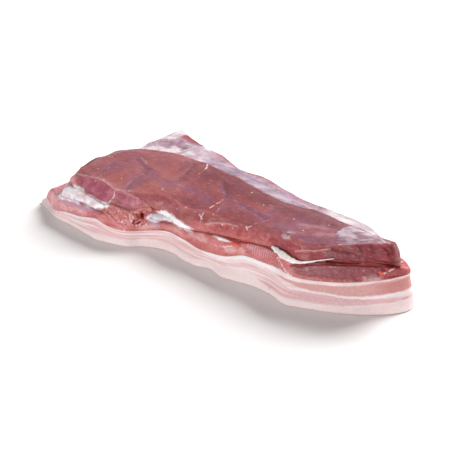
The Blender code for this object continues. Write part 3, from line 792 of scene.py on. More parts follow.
# %% Skin of the upper muscle
TOP_LINES = {
    "groove": [[95, 175.5, 101, 171.5, 108, 166, 113, 161.5, 120, 157], [136, 158, 142, 163, 148, 168.5],
        [126, 191, 128, 185.5, 132, 180, 138, 175.5, 145, 172], [194, 165, 188, 170, 182, 176, 178, 179],
        [223, 182, 225, 189, 227, 194], [226, 195, 232, 190.5, 239, 187.5], [240, 203, 252, 210, 264, 218]],
    "mauve": [[137, 158, 144, 165, 150, 171, 157, 177, 168, 182, 178, 185, 188, 188, 200, 193, 208, 199],
        [126, 192, 129, 184, 136, 177, 146, 172], [224, 184, 226, 192, 230, 199],
        [240, 203, 252, 210, 264, 218], [270, 212, 282, 210], [276, 222, 288, 225, 300, 227],
        [296, 216, 306, 219], [300, 238, 312, 239], [222, 206, 228, 207], [330, 240, 334, 238],
        [232, 183, 240, 188], [107, 167, 114, 161], [165, 185, 176, 185, 188, 188]],
    "dark": [[172, 195, 184, 197, 196, 203, 196, 207], [193, 167, 202, 164], [209, 168, 218, 172, 227, 177],
        [206, 186, 212, 190], [228, 208, 240, 213, 250, 220], [300, 210, 312, 213], [182, 178, 190, 170],
        [160, 157, 168, 158], [225, 184, 228, 192], [140, 162, 147, 168]],
    "rust": [[202, 181, 211, 183, 218, 190], [260, 224.5, 265, 224.5], [108, 172, 124, 176],
        [146, 184, 156, 191], [243, 198, 262, 207], [112, 160, 122, 156], [170, 168, 178, 172]],
    "bloom": [[141, 205, 150, 203], [158, 203, 165, 207, 172, 207, 182, 208], [300, 223, 318, 225, 334, 228],
        [318, 233, 334, 234], [282, 231, 291, 231], [80, 176, 95, 177, 108, 182, 118, 188, 130, 191],
        [272, 206, 280, 207], [213, 218, 228, 221], [70, 177, 76, 175], [159, 203, 166, 206]],
    "red": [[236, 233, 244, 231, 262, 236, 270, 240], [288, 245, 299, 248], [212, 228, 226, 230],
        [392, 248, 396, 256, 398, 261], [146, 211, 156, 211], [72, 180, 77, 182]],
    # edge: a pale rim along the top's edges, partly sinew, partly a painted highlight
    "edge": [[77, 174, 84, 175, 92, 176, 100, 178, 107, 182, 113, 187.5, 121, 190, 130, 194, 138, 199],
        [206, 224.5, 213, 223.5, 220, 223.3, 229, 224.4, 237, 226.5],
        [294, 251.3, 302, 250.3, 312, 251.2, 320, 251, 329, 249],
        [338, 243.5, 346, 244, 354, 242.8, 370, 242, 382, 243], [356, 226, 364, 230, 374, 235, 384, 240],
        [281, 236, 284, 238.5, 290, 237.5]],
    "nub": [[69, 177, 73, 179, 76, 183]],
}
TOP_PATCHES = {
    "film": [[336, 233.8, 339, 230.5, 345, 228.5, 354, 228.3, 364.6, 231.5, 375.7, 236.2, 385, 240.5,
        394.7, 243.5, 385, 243, 372.5, 242.3, 363, 241.7, 350.3, 243.3, 340.8, 242.8, 337.5, 240], [281, 236,
        283, 233, 288, 231, 294.5, 231.3, 291.5, 234, 286, 237]],
    "cut": [[79, 180, 84, 176.8, 92, 177.3, 100, 179.3, 107, 183, 112.3, 187.8, 113, 193, 110, 198, 105, 203,
        101, 201, 96, 197, 89, 193, 83, 191, 79, 188, 78, 184], [115.5, 191, 122, 192, 129, 195, 137, 199.5,
        143, 203.5, 138, 206.5, 131, 208.5, 124, 208, 119, 205, 115, 200, 114.5, 195]],
    "front": [[192, 219, 205, 223.5, 215, 223.3, 225, 224.5, 238, 228, 250, 231, 262, 234, 275, 239,
        283, 245, 290, 249, 300, 251, 310, 250.8, 328, 249, 338, 244.5, 350, 244, 370, 243.5, 380, 243.5,
        394, 244.5, 398, 263, 390, 266, 370, 266, 345, 265, 319, 265, 300, 264, 290, 260, 276, 251.5,
        262, 247, 250, 242, 240, 243, 228, 239, 215, 234, 205, 230, 195, 226]],
    "raw": [[328, 248, 340, 245.7, 355, 244.8, 370, 244.6, 385, 246, 394, 247, 397, 256, 397, 263, 380, 265,
        365, 264, 350, 263, 335, 263, 324, 258]],
}
FOOT_BURIED = 1.0           # the wall goes down this far into what lies below it, in mm
CLEFT_SHARE = 0.85          # the skin's cleft is this much of the solids' one: the loose bits fill the rest
HANG = 8.0                  # the wall hangs this much lower over the shelf, left of the cleft, in mm
HANG_FORWARD = 0.12         # and this share of it forward
HANG_SPAN = (66, 82, 94, 112)           # where it does: x in mm of its start, full, fading and end
END_DRAWN_OUT = 3.0         # the right end reaches this much further over the shelf, in mm
END_SPAN = (125, 148)       # from none to all of it, x in mm
RAISED_BACK = 1.6           # mm that the top stands higher behind, at the left
RAISED_SPAN = (-130, -112, 120, 140)
PRESSED_END = 3.0           # mm that the left end is pressed in
PRESSED_SPAN = (-60, -48, -22, -4)      # y in mm
NUB_HEIGHT = 2.4            # mm that the nub at the left end of the cut stands up
CREST_ROWS = 46
TOP_WALL_ROWS = 46
SOLE_SUNK = 0.4             # the sole lies this far in the seam, in mm


def upper_muscle_rows():
    """Rings of the crowned top, the wall (straight or round by its own share), the sole, and the fall."""
    yield from spine_rows(crest_ring, CREST_LINES, between(SLIVER, 0.98, CREST_ROWS, 0.85), crest, 0.0)
    roundness, lift = round_outline(CREST_ROUNDNESS), round_outline(CLEFT_LIFT)
    missing_seam = (1 - soft_step(seam_reach, -1, 2)) * along_cut(top_ring, SEAM_THICKNESS)
    low = seam_top(top_ring) - FOOT_BURIED - missing_seam + lift * CLEFT_SHARE
    high = crest(crest_ring)
    for share in between(1, 0, TOP_WALL_ROWS):
        turn = share * math.pi / 2
        draw_in = part_way(share, 1 - np.cos(turn), roundness)
        climb = part_way(share, np.sin(turn), roundness)
        yield part_way(top_ring, crest_ring, draw_in[:, None]), part_way(low, high, climb), 1 - share
    for share, lifted in ((0.88, lift), (0.75, 0), (SLIVER, 0)):
        yield from spine_rows(top_ring, CREST_LINES, [share],
                              lambda plan: seam_top(plan) - SOLE_SUNK + lifted, 1.0)


top_skin, fall = skin_of(upper_muscle_rows())
front_half = 1 - soft_step(behind_on(top_skin, *CREST_LINES), 0.1, 0.4)
hang = HANG * front_half * window(top_skin[:, :, 0], *HANG_SPAN) * soft_step(fall, 0.2, 1.0)
top_skin = top_skin + hang[:, :, None] * (HANG_FORWARD * away - upward)
top_skin[:, :, 0] += END_DRAWN_OUT * soft_step(top_skin[:, :, 0], *END_SPAN)
top_sight = Sight(top_skin)
top_marks = top_sight.marks(SHARED_LINES | TOP_LINES, SHARED_PATCHES | TOP_PATCHES)
top_marks |= {"fall": fall, "behind": behind_on(top_skin, *CREST_LINES)}
x, y = top_skin[:, :, 0], top_skin[:, :, 1]
calm = soft_step(top_marks["cut"], -1, 2)
raised_back = RAISED_BACK * soft_step(top_marks["behind"], 0.5, 0.9) * window(x, *RAISED_SPAN)
pressed_end = PRESSED_END * soft_step(-x, 124, 138) * window(y, *PRESSED_SPAN) * soft_step(-fall, -0.9, -0.4)
wall_relief = rough(top_skin * [0.5, 0.5, 1.4], (0.5, 6, 35)) + rough(top_skin, (0.25, 2.4, 36))
top_relief = (raised_back - pressed_end + NUB_HEIGHT * furrow(top_marks["nub"], 3.5)
              + calm * rough(top_skin, (0.6, 24, 31), (0.35, 9, 32)) + rough(top_skin, (0.12, 3, 33))
              + soft_step(fall, 0.05, 0.4) * calm * wall_relief
              - 0.3 * furrow(top_marks["groove"], 1.8) - 0.3 * furrow(top_marks["mauve"], 5)
              - 0.5 * soft_step(-top_marks["cut"], -0.5, 1) + 0.4 * furrow(top_marks["edge"], 1.1)
              + 0.3 * soft_step(-top_marks["film"], -0.5, 1) + shared_relief(top_skin, top_marks) - 0.6)
upper_muscle = closed_mesh("long_muscle", pushed(top_skin, top_relief), top_marks)

# %% [markdown]
# ## Loose bits: torn flesh, a curled shred and a lip of fat
# At the left front the meat has been torn open. Shreds of lean hang over the foot of the long muscle, with
# a dark hollow in them, and in the hollow a shred of skin has rolled up like a wood shaving. Further right
# a lip of white fat has come loose over the cleft. The torn flesh is a pad that is laid on what the camera
# sees there and raised off it; the other two are tubes along a path, one a spiral, one flat.

# %% The pad of torn flesh
PAD_TOP = [100, 207, 106, 203.5, 112, 202.8, 119, 205.5, 127, 208.5, 135, 208, 142, 206.5, 149, 206.5,
    154, 210]
PAD_FOOT = [100.5, 208, 105, 215, 111, 221, 119, 225, 128, 227, 137, 227.5, 144, 225.5, 150, 219, 154, 211]
PAD_LINES = {
    "hollow": [[142.2, 214, 141.5, 217.5, 138.5, 220.5, 134.5, 223.5]],
    "flap": [[137, 211.5, 143, 209.3, 150, 209]],
}
PAD_ROWS = 9                # places from top to foot where the pad's base is found
PAD_LIFT = 1.9              # mm that the middle of the pad stands off its base
PAD_SUNK = 1.0              # mm that its edges lie below it
PAD_BODY = 3.0              # mm that its middle reaches further back than its edges
HOLLOW_DEPTH = 2.6
SMOOTHINGS = 3              # times that the base's depths are smoothed


def shown_at(pixel):
    """The point that the camera sees at a pixel, on whichever skin is nearest to it there."""
    spots = [sight.laid_on([pixel]) for sight in (lean_sight, seam_sight, top_sight)]
    spots = [spot[0] for spot, reached in spots if reached[0]]
    return min(spots, key=lambda spot: (eye - spot) @ away)


def behind_pixel(pixel, depth):
    """The point at a depth in mm behind each pixel: seen() turned round."""
    scale = PICTURE * LENS / SENSOR / depth
    right = (pixel[..., 0] - PICTURE / 2) / scale
    up = (PICTURE / 2 - pixel[..., 1]) / scale
    return eye - depth[..., None] * away + right[..., None] * rightward + up[..., None] * upward


def smoothed(values):
    """Each value but the first and last becomes a quarter of both neighbours and half of itself."""
    values[1:-1] = (values[:-2] + 2 * values[1:-1] + values[2:]) / 4


def torn_flesh():
    """Depths of what is seen below the pad, smoothed, then a lens of lumps on them and a sunk back."""
    down = np.linspace(0, 1, PAD_ROWS)[None, :, None]
    pixels = part_way(bent(PAD_TOP, steps=3)[:, None], bent(PAD_FOOT, steps=3)[:, None], down)
    depth = np.array([[(eye - shown_at(pixel)) @ away for pixel in column] for column in pixels])
    for _ in range(SMOOTHINGS):
        smoothed(depth)
        smoothed(depth.T)
    net = np.dstack([pixels, depth])
    for _ in range(2):
        net = bent(net.reshape(len(net), -1), steps=6).reshape(-1, net.shape[1], 3).transpose(1, 0, 2)
    s = np.linspace(0, 1, len(net))[:, None]
    t = np.linspace(0, 1, net.shape[1])[None, :]
    lens = soft_step(4 * s * (1 - s), 0, 0.4) * soft_step(4 * t * (1 - t), 0, 0.6)
    front = behind_pixel(net[:, :, :2], net[:, :, 2])
    sight = Sight(np.concatenate([front[:, ::-1], front + TINY], axis=1))
    marks = sight.marks(SHARED_LINES | PAD_LINES, SHARED_PATCHES)
    gap = {name: values[:, :len(t.T)][:, ::-1] for name, values in marks.items()}
    relief = (PAD_LIFT + rough(front, (1.1, 4.5, 61), (0.7, 2.2, 62)) + 1.0 * furrow(gap["strand"], 1.4)
              + 0.7 * furrow(gap["flap"], 1.0) + 0.5 * soft_step(-gap["white"], -0.8, 1.6)
              - HOLLOW_DEPTH * furrow(gap["hollow"], 1.5))
    front = behind_pixel(net[:, :, :2], net[:, :, 2] - part_way(-PAD_SUNK, relief, lens))
    back = behind_pixel(net[:, :, :2], net[:, :, 2] + PAD_SUNK + PAD_BODY * lens)
    return closed_mesh("torn_flesh", np.concatenate([front[:, ::-1], back], axis=1), marks)


torn = torn_flesh()

# %% Tubes along a path
CURL_AT = (138.4, 215.6)
CURL_RADIUS = 1.9
CURL_THICKNESS = 0.85
CURL_TURNS = 1.15
CURL_ROWS = 40
CURL_RISE = 0.6             # the inner end stands this much nearer to the camera, in mm
CURL_HEIGHT = 3.0           # and the whole curl this much off the meat
LIP_PATH = [271.8, 246.8, 275.3, 249.3, 280.5, 253, 286.5, 257.3, 292.5, 260.8, 298, 262.8, 306, 262.6,
    316, 261.2, 325, 259.8, 333, 258.6]
LIP_HALF_WIDTH = [1.2, 2.0, 2.3, 2.2, 1.8, 1.2, 0.8, 0.5, 0.35, 0.25]
LIP_THICKNESS = 0.8
LIP_LIFT = 1.1
END_ROUNDING = 0.02         # a tube's ends are cut off at this share of its swelling
SIDES = 14                  # points round a tube


def tube(name, spine, side, half_width, half_thickness):
    """Elliptic rings round a spine: centre + width * cos(turn) * side + thickness * sin(turn) * out."""
    along = np.gradient(spine, axis=0)
    along /= np.linalg.norm(along, axis=1)[:, None]
    side = side - (side * along).sum(axis=1)[:, None] * along
    side /= np.linalg.norm(side, axis=1)[:, None]
    out = np.cross(side, along)
    turn = np.linspace(0, 2 * math.pi, SIDES, endpoint=False)[None, :, None]
    rings = (spine[:, None] + half_width[:, None, None] * np.cos(turn) * side[:, None]
             + half_thickness[:, None, None] * np.sin(turn) * out[:, None])
    return closed_mesh(name, rings, {})


def curled_shred(centre):
    """A tube round a spiral whose radius grows with its turn; it swells in the middle."""
    t = np.linspace(0, 1, CURL_ROWS)
    angle = 2 * math.pi * CURL_TURNS * t
    radius = CURL_RADIUS * (0.4 + 0.6 * t)
    spine = (centre + np.outer(radius * np.cos(angle), rightward) + np.outer(radius * np.sin(angle), upward)
             + np.outer(CURL_RISE * (1 - t), away))
    swelling = CURL_THICKNESS * np.sqrt(np.sin(math.pi * np.clip(t, END_ROUNDING, 1 - END_ROUNDING)))
    return tube("curled_shred", spine, np.tile(away, (CURL_ROWS, 1)), swelling, swelling)


def fat_lip():
    """A flat tube on what the camera sees along its path, as wide as the photograph shows it."""
    spots = np.array([shown_at(pixel) for pixel in np.reshape(LIP_PATH, (-1, 2))])
    smoothed(spots)
    spine = bent(spots) + LIP_LIFT * away
    place_along = np.linspace(0, len(spots) - 1, len(spine))
    width = np.interp(place_along, np.arange(len(spots)), LIP_HALF_WIDTH)
    width *= 1 + rough(spine, (0.25, 2.5, 51))
    across_path = np.cross(np.gradient(spine, axis=0), away)
    return tube("fat_lip", spine, across_path, width, LIP_THICKNESS * np.sqrt(width / width.max()))


curl = curled_shred(shown_at(CURL_AT) + CURL_HEIGHT * away)
lip = fat_lip()

# %% [markdown]
# ## Finishes: helpers
# A shader is a net of small nodes. `paint` turns a colour from a paint chart into the linear values that
# shaders use. A `Net` adds nodes one by one and keeps the colour laid so far, as a painter does: `lay`
# puts the next paint on it through a mask, and `patch` does so where a mark is.

# %% Helpers for node nets
CURVE_START = 0.04045       # the sRGB curve is straight below this and a power above it
CURVE_SLOPE = 12.92
CURVE_LIFT = 0.055
CURVE_POWER = 2.4


def paint(red, green, blue):
    """Linear colour from chart values 0 to 255, by the sRGB curve."""
    chart = np.array([red, green, blue]) / 255
    bent_part = ((chart + CURVE_LIFT) / (1 + CURVE_LIFT)) ** CURVE_POWER
    return (*np.where(chart <= CURVE_START, chart / CURVE_SLOPE, bent_part).tolist(), 1.0)


class Net:
    """The nodes of one material or group, and the colour laid so far."""

    def __init__(self, tree):
        self.tree = tree
        self.colour = None

    def fill(self, node, values):
        """A value that is a socket is linked, any other is set."""
        for socket, value in values.items():
            if isinstance(value, bpy.types.NodeSocket):
                self.tree.links.new(value, node.inputs[socket])
            else:
                node.inputs[socket].default_value = value

    def place(self, kind, values, output=0, **settings):
        """One output of a new node, its values filled in and its settings made."""
        node = self.tree.nodes.new(kind)
        for setting, value in settings.items():
            setattr(node, setting, value)
        self.fill(node, values)
        return node.outputs[output] if node.outputs else node

    def maths(self, operation, *values):
        """The result of one Math node."""
        return self.place("ShaderNodeMath", dict(enumerate(values)), operation=operation)

    def times(self, first, *others):
        """All values multiplied."""
        for other in others:
            first = self.maths("MULTIPLY", first, other)
        return first

    def blend(self, one, other, share):
        """one * (1 - share) + other * share, for numbers."""
        return self.place("ShaderNodeMix", {0: share, 2: one, 3: other}, data_type="FLOAT")

    def over(self, below, above, mask):
        """below * (1 - mask) + above * mask, for colours; three numbers are chart values."""
        below, above = (paint(*colour) if isinstance(colour, tuple) else colour for colour in (below, above))
        return self.place("ShaderNodeMix", {0: mask, 6: below, 7: above}, 2, data_type="RGBA")

    def mark(self, name):
        """The value that a skin's mark has here."""
        return self.place("ShaderNodeAttribute", {}, "Fac", attribute_name=name)

    def point(self):
        """This point of the piece, in metres."""
        return self.place("ShaderNodeTexCoord", {}, "Object")

    def here(self, axis):
        """X, Y or Z of this point of the piece, in metres."""
        return self.place("ShaderNodeSeparateXYZ", {0: self.point()}, "XYZ".index(axis))

    def noise(self, scale, detail=3.0, stretch=(1, 1, 1), roughness=0.5, where=None):
        """Noise from 0 to 1 in the piece's own space; scale is in waves a metre, before the stretch."""
        where = self.place("ShaderNodeMapping", {"Vector": where or self.point(), "Scale": stretch})
        values = {"Vector": where, "Scale": scale, "Detail": detail, "Roughness": roughness}
        return self.place("ShaderNodeTexNoise", values, "Fac")

    def ramp(self, value, low, high, start=0.0, end=1.0):
        """start where value is low, end where it is high, a soft step between."""
        values = {0: value, 1: low, 2: high, 3: start, 4: end}
        return self.place("ShaderNodeMapRange", values, interpolation_type="SMOOTHSTEP")

    def use(self, node_group, **values):
        """The first output of a node group, with its values."""
        return self.place("ShaderNodeGroup", values, node_tree=node_group)

    def ragged(self, name, reach, softness, raggedness, scale):
        """The mask of a mark, with a ragged edge."""
        return self.use(RAGGED_EDGE, Distance=self.mark(name), Reach=reach, Softness=softness,
                        Raggedness=raggedness, Scale=scale)

    def mottled(self, one, other, scale, detail=4.0, low=0.36, high=0.66, stretch=(1, 1, 1)):
        """Two colours in soft patches."""
        return self.over(one, other, self.ramp(self.noise(scale, detail, stretch), low, high))

    def lay(self, colour, *masks):
        """The colour laid so far, with this one over it where all masks, multiplied, say so."""
        self.colour = self.over(self.colour, colour, self.times(*masks))

    def patch(self, colour, name, reach, softness, raggedness, scale, *masks):
        """A colour laid on a mark, with a ragged edge."""
        self.lay(colour, self.ragged(name, reach, softness, raggedness, scale), *masks)

    def tint(self, colour, name, strength, wide, scale):
        """A tint along a mark, strongest on it and gone at wide mm, broken up by noise."""
        self.patch(colour, name, -0.3 * wide, 1.3 * wide, 0.6 * wide, scale, strength)

    def shade(self, value, *shades):
        """Shades (colour, low, high, strength), each laid on as the value goes from low to high."""
        for colour, low, high, strength in shades:
            self.lay(colour, self.ramp(value, low, high, 0.0, strength))


print("raw lean on the chart, linear:", np.round(paint(185, 95, 95), 3))

# %% [markdown]
# ## Effects that several layers share
# A torn edge, the fine grain of fibres, threads of fat and the patchy wetness of cut meat show on every
# layer. Each is one node group with named inputs, built once and set for each layer. The ragged edge
# turns a mark in millimetres into a mask: it shifts the distance by noise, so no patch has a drawn edge.

# %% Node groups
def ragged_edge(net, given):
    """Mask 1 within Reach of the mark, 0 beyond Reach + Softness; noise moves the edge by Raggedness."""
    wander = net.times(net.maths("SUBTRACT", net.noise(given["Scale"]), 0.5), 3.0, given["Raggedness"])
    gap = net.maths("ADD", given["Distance"], wander)
    return net.ramp(gap, given["Reach"], net.maths("ADD", given["Reach"], given["Softness"]), 1.0, 0.0)


def fibre_grain(net, given):
    """Noise stretched along the fibres (Y left of Turn, X right of it), mixed with round specks."""
    along_x = net.noise(given["Scale"], 2.0, (0.3, 1.0, 1.0))
    along_y = net.noise(given["Scale"], 2.0, (1.0, 0.3, 1.0))
    turn = net.ramp(net.maths("SUBTRACT", net.here("X"), given["Turn"]), -0.025, 0.025)
    specks = net.noise(net.times(given["Scale"], 1.9), 2.0)
    return net.blend(specks, net.blend(along_y, along_x, turn), given["Coarse"])


def fat_threads(net, given):
    """Threads where noise crosses its own middle: 1 on the crossing, 0 past Width, in broken patches."""
    field = net.noise(given["Scale"], 2.0, (0.4, 1.0, 1.0))
    ridge = net.maths("ABSOLUTE", net.maths("SUBTRACT", field, 0.5))
    cover = net.noise(net.times(given["Scale"], 0.7), 2.0)
    cover = net.ramp(cover, net.maths("SUBTRACT", 1.0, given["Cover"]), 0.95)
    return net.times(net.ramp(ridge, 0.0, given["Width"], 1.0, 0.0), cover)


def glint_specks(net, given):
    """Painted glints: small round specks, 1 at the centre, near Voronoi cell centres; Cover sets how many.
    """
    near = net.place("ShaderNodeTexVoronoi", {"Vector": net.point(), "Scale": given["Scale"]}, "Distance")
    threshold = net.maths("SUBTRACT", 0.9, net.times(given["Cover"], 0.6))
    cover = net.ramp(net.noise(net.times(given["Scale"], 0.2), 2.0), threshold, 0.8)
    return net.times(net.ramp(near, 0.0, given["Size"], 1.0, 0.0), cover)


def wetness(net, given):
    """Roughness between Dry and Wet in soft patches."""
    return net.ramp(net.noise(given["Scale"]), 0.35, 0.65, given["Wet"], given["Dry"])


def node_group(effect, output, **inputs):
    """A node group with number inputs and one output, which the effect makes from them."""
    tree = bpy.data.node_groups.new(effect.__name__, "ShaderNodeTree")
    for title, default in inputs.items():
        given = tree.interface.new_socket(title, in_out="INPUT", socket_type="NodeSocketFloat")
        given.default_value = default
    tree.interface.new_socket(output, in_out="OUTPUT", socket_type="NodeSocketFloat")
    net = Net(tree)
    given = tree.nodes.new("NodeGroupInput").outputs
    net.place("NodeGroupOutput", {output: effect(net, given)})
    return tree


RAGGED_EDGE = node_group(ragged_edge, "Mask", Distance=9.0, Reach=0.0, Softness=1.0, Raggedness=1.0,
                         Scale=300.0)
FIBRE_GRAIN = node_group(fibre_grain, "Grain", Scale=700.0, Coarse=0.6, Turn=-9.0)
FAT_THREADS = node_group(fat_threads, "Threads", Scale=60.0, Width=0.02, Cover=0.5)
GLINT_SPECKS = node_group(glint_specks, "Specks", Scale=400.0, Size=0.2, Cover=0.5)
WETNESS = node_group(wetness, "Roughness", Scale=90.0, Wet=0.3, Dry=0.5)
print("node groups:", [tree.name for tree in bpy.data.node_groups])

# %% [markdown]
# ## What every finish has
# The features that run over several layers are laid in the same order everywhere: lavender film, torn
# flesh with painted glints, white fat, creases in painted shade, the cleft in painted shade and stain,
# blood, sinews and painted glints. And every layer is moist: a thin coat, light that goes a little way in,
# and a fine bump from the grain.

# %% Shared features and the moist skin
MOIST = {"Subsurface Radius": (1.0, 0.35, 0.25), "Subsurface Scale": 2 * MM, "Specular IOR Level": 0.4,
         "Coat Weight": 0.1, "Coat Roughness": 0.15}


def lay_shared_features(net):
    """Marks any layer may carry, over its own colour: painted glints, painted shade in creases and cleft."""
    net.tint((172, 138, 168), "lavender", 0.75, 4.0, 200)
    in_torn = net.ragged("torn", -1.0, 3.0, 1.6, 260)
    net.lay(net.mottled((176, 92, 96), (212, 142, 140), 420, 4.0, 0.42, 0.6), in_torn, 0.85)
    # painted highlight: dense glints on the torn flesh
    torn_glints = net.use(GLINT_SPECKS, Scale=560.0, Size=0.36, Cover=0.9)
    net.lay((232, 206, 222), torn_glints, in_torn, 0.7)
    net.tint((214, 134, 124), "strand", 0.75, 2.4, 260)
    net.patch(net.mottled((255, 252, 253), (240, 226, 234), 220), "white", -1.0, 2.0, 0.8, 240)
    # painted shade along the creases
    net.patch((150, 62, 62), "shaded_crease", -0.3, 1.0, 0.5, 350, 0.45)
    # painted shade in the cleft, dark red, partly a blood stain at the right corner
    net.patch((122, 14, 18), "cleft_shade_and_stain", 0.55, 1.3, 0.8, 260, 0.9)
    net.patch(net.mottled((206, 48, 40), (226, 104, 90), 500), "blood", 0.2, 1.5, 0.9, 450, 0.9)
    broken = net.ramp(net.noise(420, 2.0), 0.38, 0.56)
    net.patch((222, 184, 186), "hair", -0.1, 0.8, 0.5, 450, broken, 0.55)
    net.patch((236, 212, 218), "sinew", 0.1, 0.9, 0.5, 450, broken, 0.85)
    # painted highlight: the glints of wet meat
    net.patch((250, 236, 240), "painted_glint", 0.1, 0.8, 0.3, 450, 0.85)


def finish(name, colour_of, grain_depth, wet, dry, glow):
    """A moist material: its colour net, patchy roughness, a fine bump, and what every finish has."""
    material = bpy.data.materials.new(name)
    material.use_nodes = True
    net = Net(material.node_tree)
    height = colour_of(net)
    bump = net.place("ShaderNodeBump", {"Height": height, "Strength": 1.0, "Distance": grain_depth * MM})
    net.fill(net.tree.nodes["Principled BSDF"], MOIST | {
        "Base Color": net.colour, "Roughness": net.use(WETNESS, Wet=wet, Dry=dry), "Normal": bump,
        "Subsurface Weight": glow})
    return material


# %% [markdown]
# ## The finishes
# The colours come from the photograph: brownish red on the dried top, pink red on the cut lean, magenta
# on the fresh slanting cut, and warm, bluish or grey whites on the fat. Each finish starts from a mottled
# base and lays its marks over it, from the widest to the finest. It hands back the grain, which becomes
# the fine bump.

# %% Finish of the streaky fat
def fat_colour(net):
    """Warm white, two pink streaks with fine lines along them, a thin white line, a paler rind."""
    x, share = net.here("X"), net.mark("share")
    right = net.ramp(x, 0.05, 0.12)
    grit = net.noise(1000, 2.0)
    gritty = net.ramp(grit, 0.36, 0.64)
    wander = net.maths("ADD", share, net.times(net.maths("SUBTRACT", net.noise(70), 0.5), 0.3))
    level = {0: net.times(x, 13.0), 1: net.times(net.here("Y"), 13.0), 2: net.times(share, 7.0)}
    lines = net.noise(1.0, 3.5, roughness=0.55, where=net.place("ShaderNodeCombineXYZ", level))
    net.colour = net.mottled((241, 224, 224), (234, 208, 210), 60)
    dusty = net.over((214, 158, 161), (246, 228, 228), net.ramp(lines, 0.38, 0.64))
    net.patch(dusty, "dusty", 0.6, 3.0, 1.4, 120, 0.85)
    start = net.ramp(x, -0.03, 0.02, 0.9, 0.76)
    band = net.ramp(wander, start, net.maths("ADD", start, 0.1))
    net.lay((252, 241, 243), band, net.ramp(right, 0.6, 0.2), 0.85)
    mauve = net.over((215, 170, 175), (226, 189, 193), gritty)
    net.patch(mauve, "dusty", -0.2, 1.4, 0.7, 180, right, 0.85)
    salmon = net.over((204, 145, 141), (210, 156, 151), gritty)
    net.patch(salmon, "salmon", 0.0, 1.5, 0.7, 180, 0.9)
    end = net.ramp(x, 0.146, 0.158)
    net.lay((200, 122, 118), end, net.ramp(share, 0.5, 0.65), net.ramp(share, 0.93, 0.86), 0.75)
    net.patch((246, 232, 236), "thin", 0.3, 1.3, 0.5, 200, 0.75)
    net.lay((196, 130, 134), net.ramp(wander, 0.97, 1.03), right, 0.6)
    net.lay((246, 226, 225), net.ramp(share, 0.0, 0.22, 0.8, 0.0))
    net.patch((205, 85, 80), "spot", 0.0, 0.9, 0.8, 500, 0.6)
    net.lay((216, 168, 168), net.ramp(grit, 0.45, 0.28, 0.0, 0.4))
    net.lay((254, 244, 248), net.ramp(grit, 0.56, 0.78, 0.0, 0.3), net.ramp(share, 0.1, 0.4, 0.4, 1.0))
    return grit


# %% Finish of the lower lean
def lower_lean_colour(net):
    """Pink red lean, darker to the right, painted shade under the cleft, silvery on the ledge behind."""
    x, behind = net.here("X"), net.mark("behind")
    net.colour = net.mottled((184, 92, 92), (204, 122, 120), 70)
    net.shade(x, ((208, 138, 144), -0.085, -0.12, 0.7), ((160, 54, 56), 0.125, 0.158, 0.85))
    # painted shade below the cleft
    shade_below_cleft = net.mottled((104, 38, 50), (138, 66, 77), 330, 3.0)
    net.patch(shade_below_cleft, "shade_below_cleft", -1.2, 3.0, 1.4, 160, 0.8)
    net.tint((228, 184, 182), "pale", 0.7, 4.5, 200)
    net.tint((204, 106, 100), "foot", 0.6, 2.8, 200)
    silver = net.mottled((176, 158, 169), (222, 218, 221), 80, 4.0, 0.4, 0.6)
    blueish = net.mottled((140, 114, 132), (180, 164, 174), 90)
    silver = net.over(silver, blueish, net.times(net.ramp(x, -0.085, -0.06), net.ramp(x, 0.085, 0.06)))
    short_of_end = net.ramp(x, 0.15, 0.138)
    on_top = net.ramp(net.mark("rise"), 0.6, 0.95)
    net.lay(silver, on_top, net.ramp(behind, 0.5, 0.7), short_of_end, 0.9)
    pale_end = net.mottled((186, 170, 174), (212, 203, 205), 70)
    net.lay(pale_end, net.ramp(x, 0.055, 0.08), short_of_end, net.ramp(behind, 0.45, 0.65))
    bruise = net.mottled((134, 90, 112), (168, 136, 152), 170)
    net.patch(bruise, "mauve", -1.0, 4.0, 2.4, 160, 0.85)
    net.patch((150, 62, 68), "red", 0.6, 4.0, 2.4, 200, 0.95)
    net.tint((182, 122, 130), "pink", 0.8, 4.0, 160)
    waves = {"Vector": net.point(), "Scale": 2 * math.pi / (20 * RIB_STEP * MM), "Distortion": 1.5}
    waves = net.place("ShaderNodeTexWave", waves, "Fac", bands_direction="X")
    ribs = net.over((172, 96, 108), (216, 166, 178), net.ramp(waves, 0.45, 0.8))
    net.patch(ribs, "ribbed", -0.5, 2.0, 1.4, 220, 0.55)
    grain = net.use(FIBRE_GRAIN, Scale=620.0)
    net.shade(grain, ((146, 62, 66), 0.48, 0.3, 0.6), ((232, 180, 178), 0.54, 0.74, 0.6))
    # painted highlight: fine glints of wet lean
    net.lay((238, 208, 208), net.use(GLINT_SPECKS, Scale=620.0, Size=0.26, Cover=0.75), 0.6)
    net.lay((228, 186, 184), net.use(FAT_THREADS, Scale=80.0, Width=0.02, Cover=0.5), 0.4)
    lay_shared_features(net)
    return grain


# %% Finish of the white seam
def seam_colour(net):
    """White fat at the left and behind, bluish where it thins out; red between the muscles in front."""
    x = net.here("X")
    net.colour = net.mottled((150, 66, 68), (178, 92, 92), 200)
    net.lay(net.mottled((232, 196, 200), (214, 160, 162), 160), net.ramp(x, -0.075, -0.09))
    bright = net.mottled((222, 213, 216), (188, 174, 181), 90, 4.0, 0.4, 0.64, (0.4, 1.0, 1.0))
    blueish = net.mottled((134, 112, 130), (182, 168, 177), 100, 4.0, 0.38, 0.66, (0.4, 1.0, 1.0))
    middle = net.times(net.ramp(x, -0.085, -0.06), net.ramp(x, 0.08, 0.06))
    veil = net.over(bright, blueish, net.times(net.ramp(net.mark("out"), 0.15, 0.4), middle))
    net.lay(veil, net.mark("behind"))
    lay_shared_features(net)
    net.tint((206, 150, 156), "pink", 0.6, 3.0, 260)
    grain = net.use(FIBRE_GRAIN, Scale=420.0)
    net.shade(grain, ((206, 178, 188), 0.46, 0.28, 0.4), ((255, 252, 252), 0.52, 0.8, 0.4))
    return grain


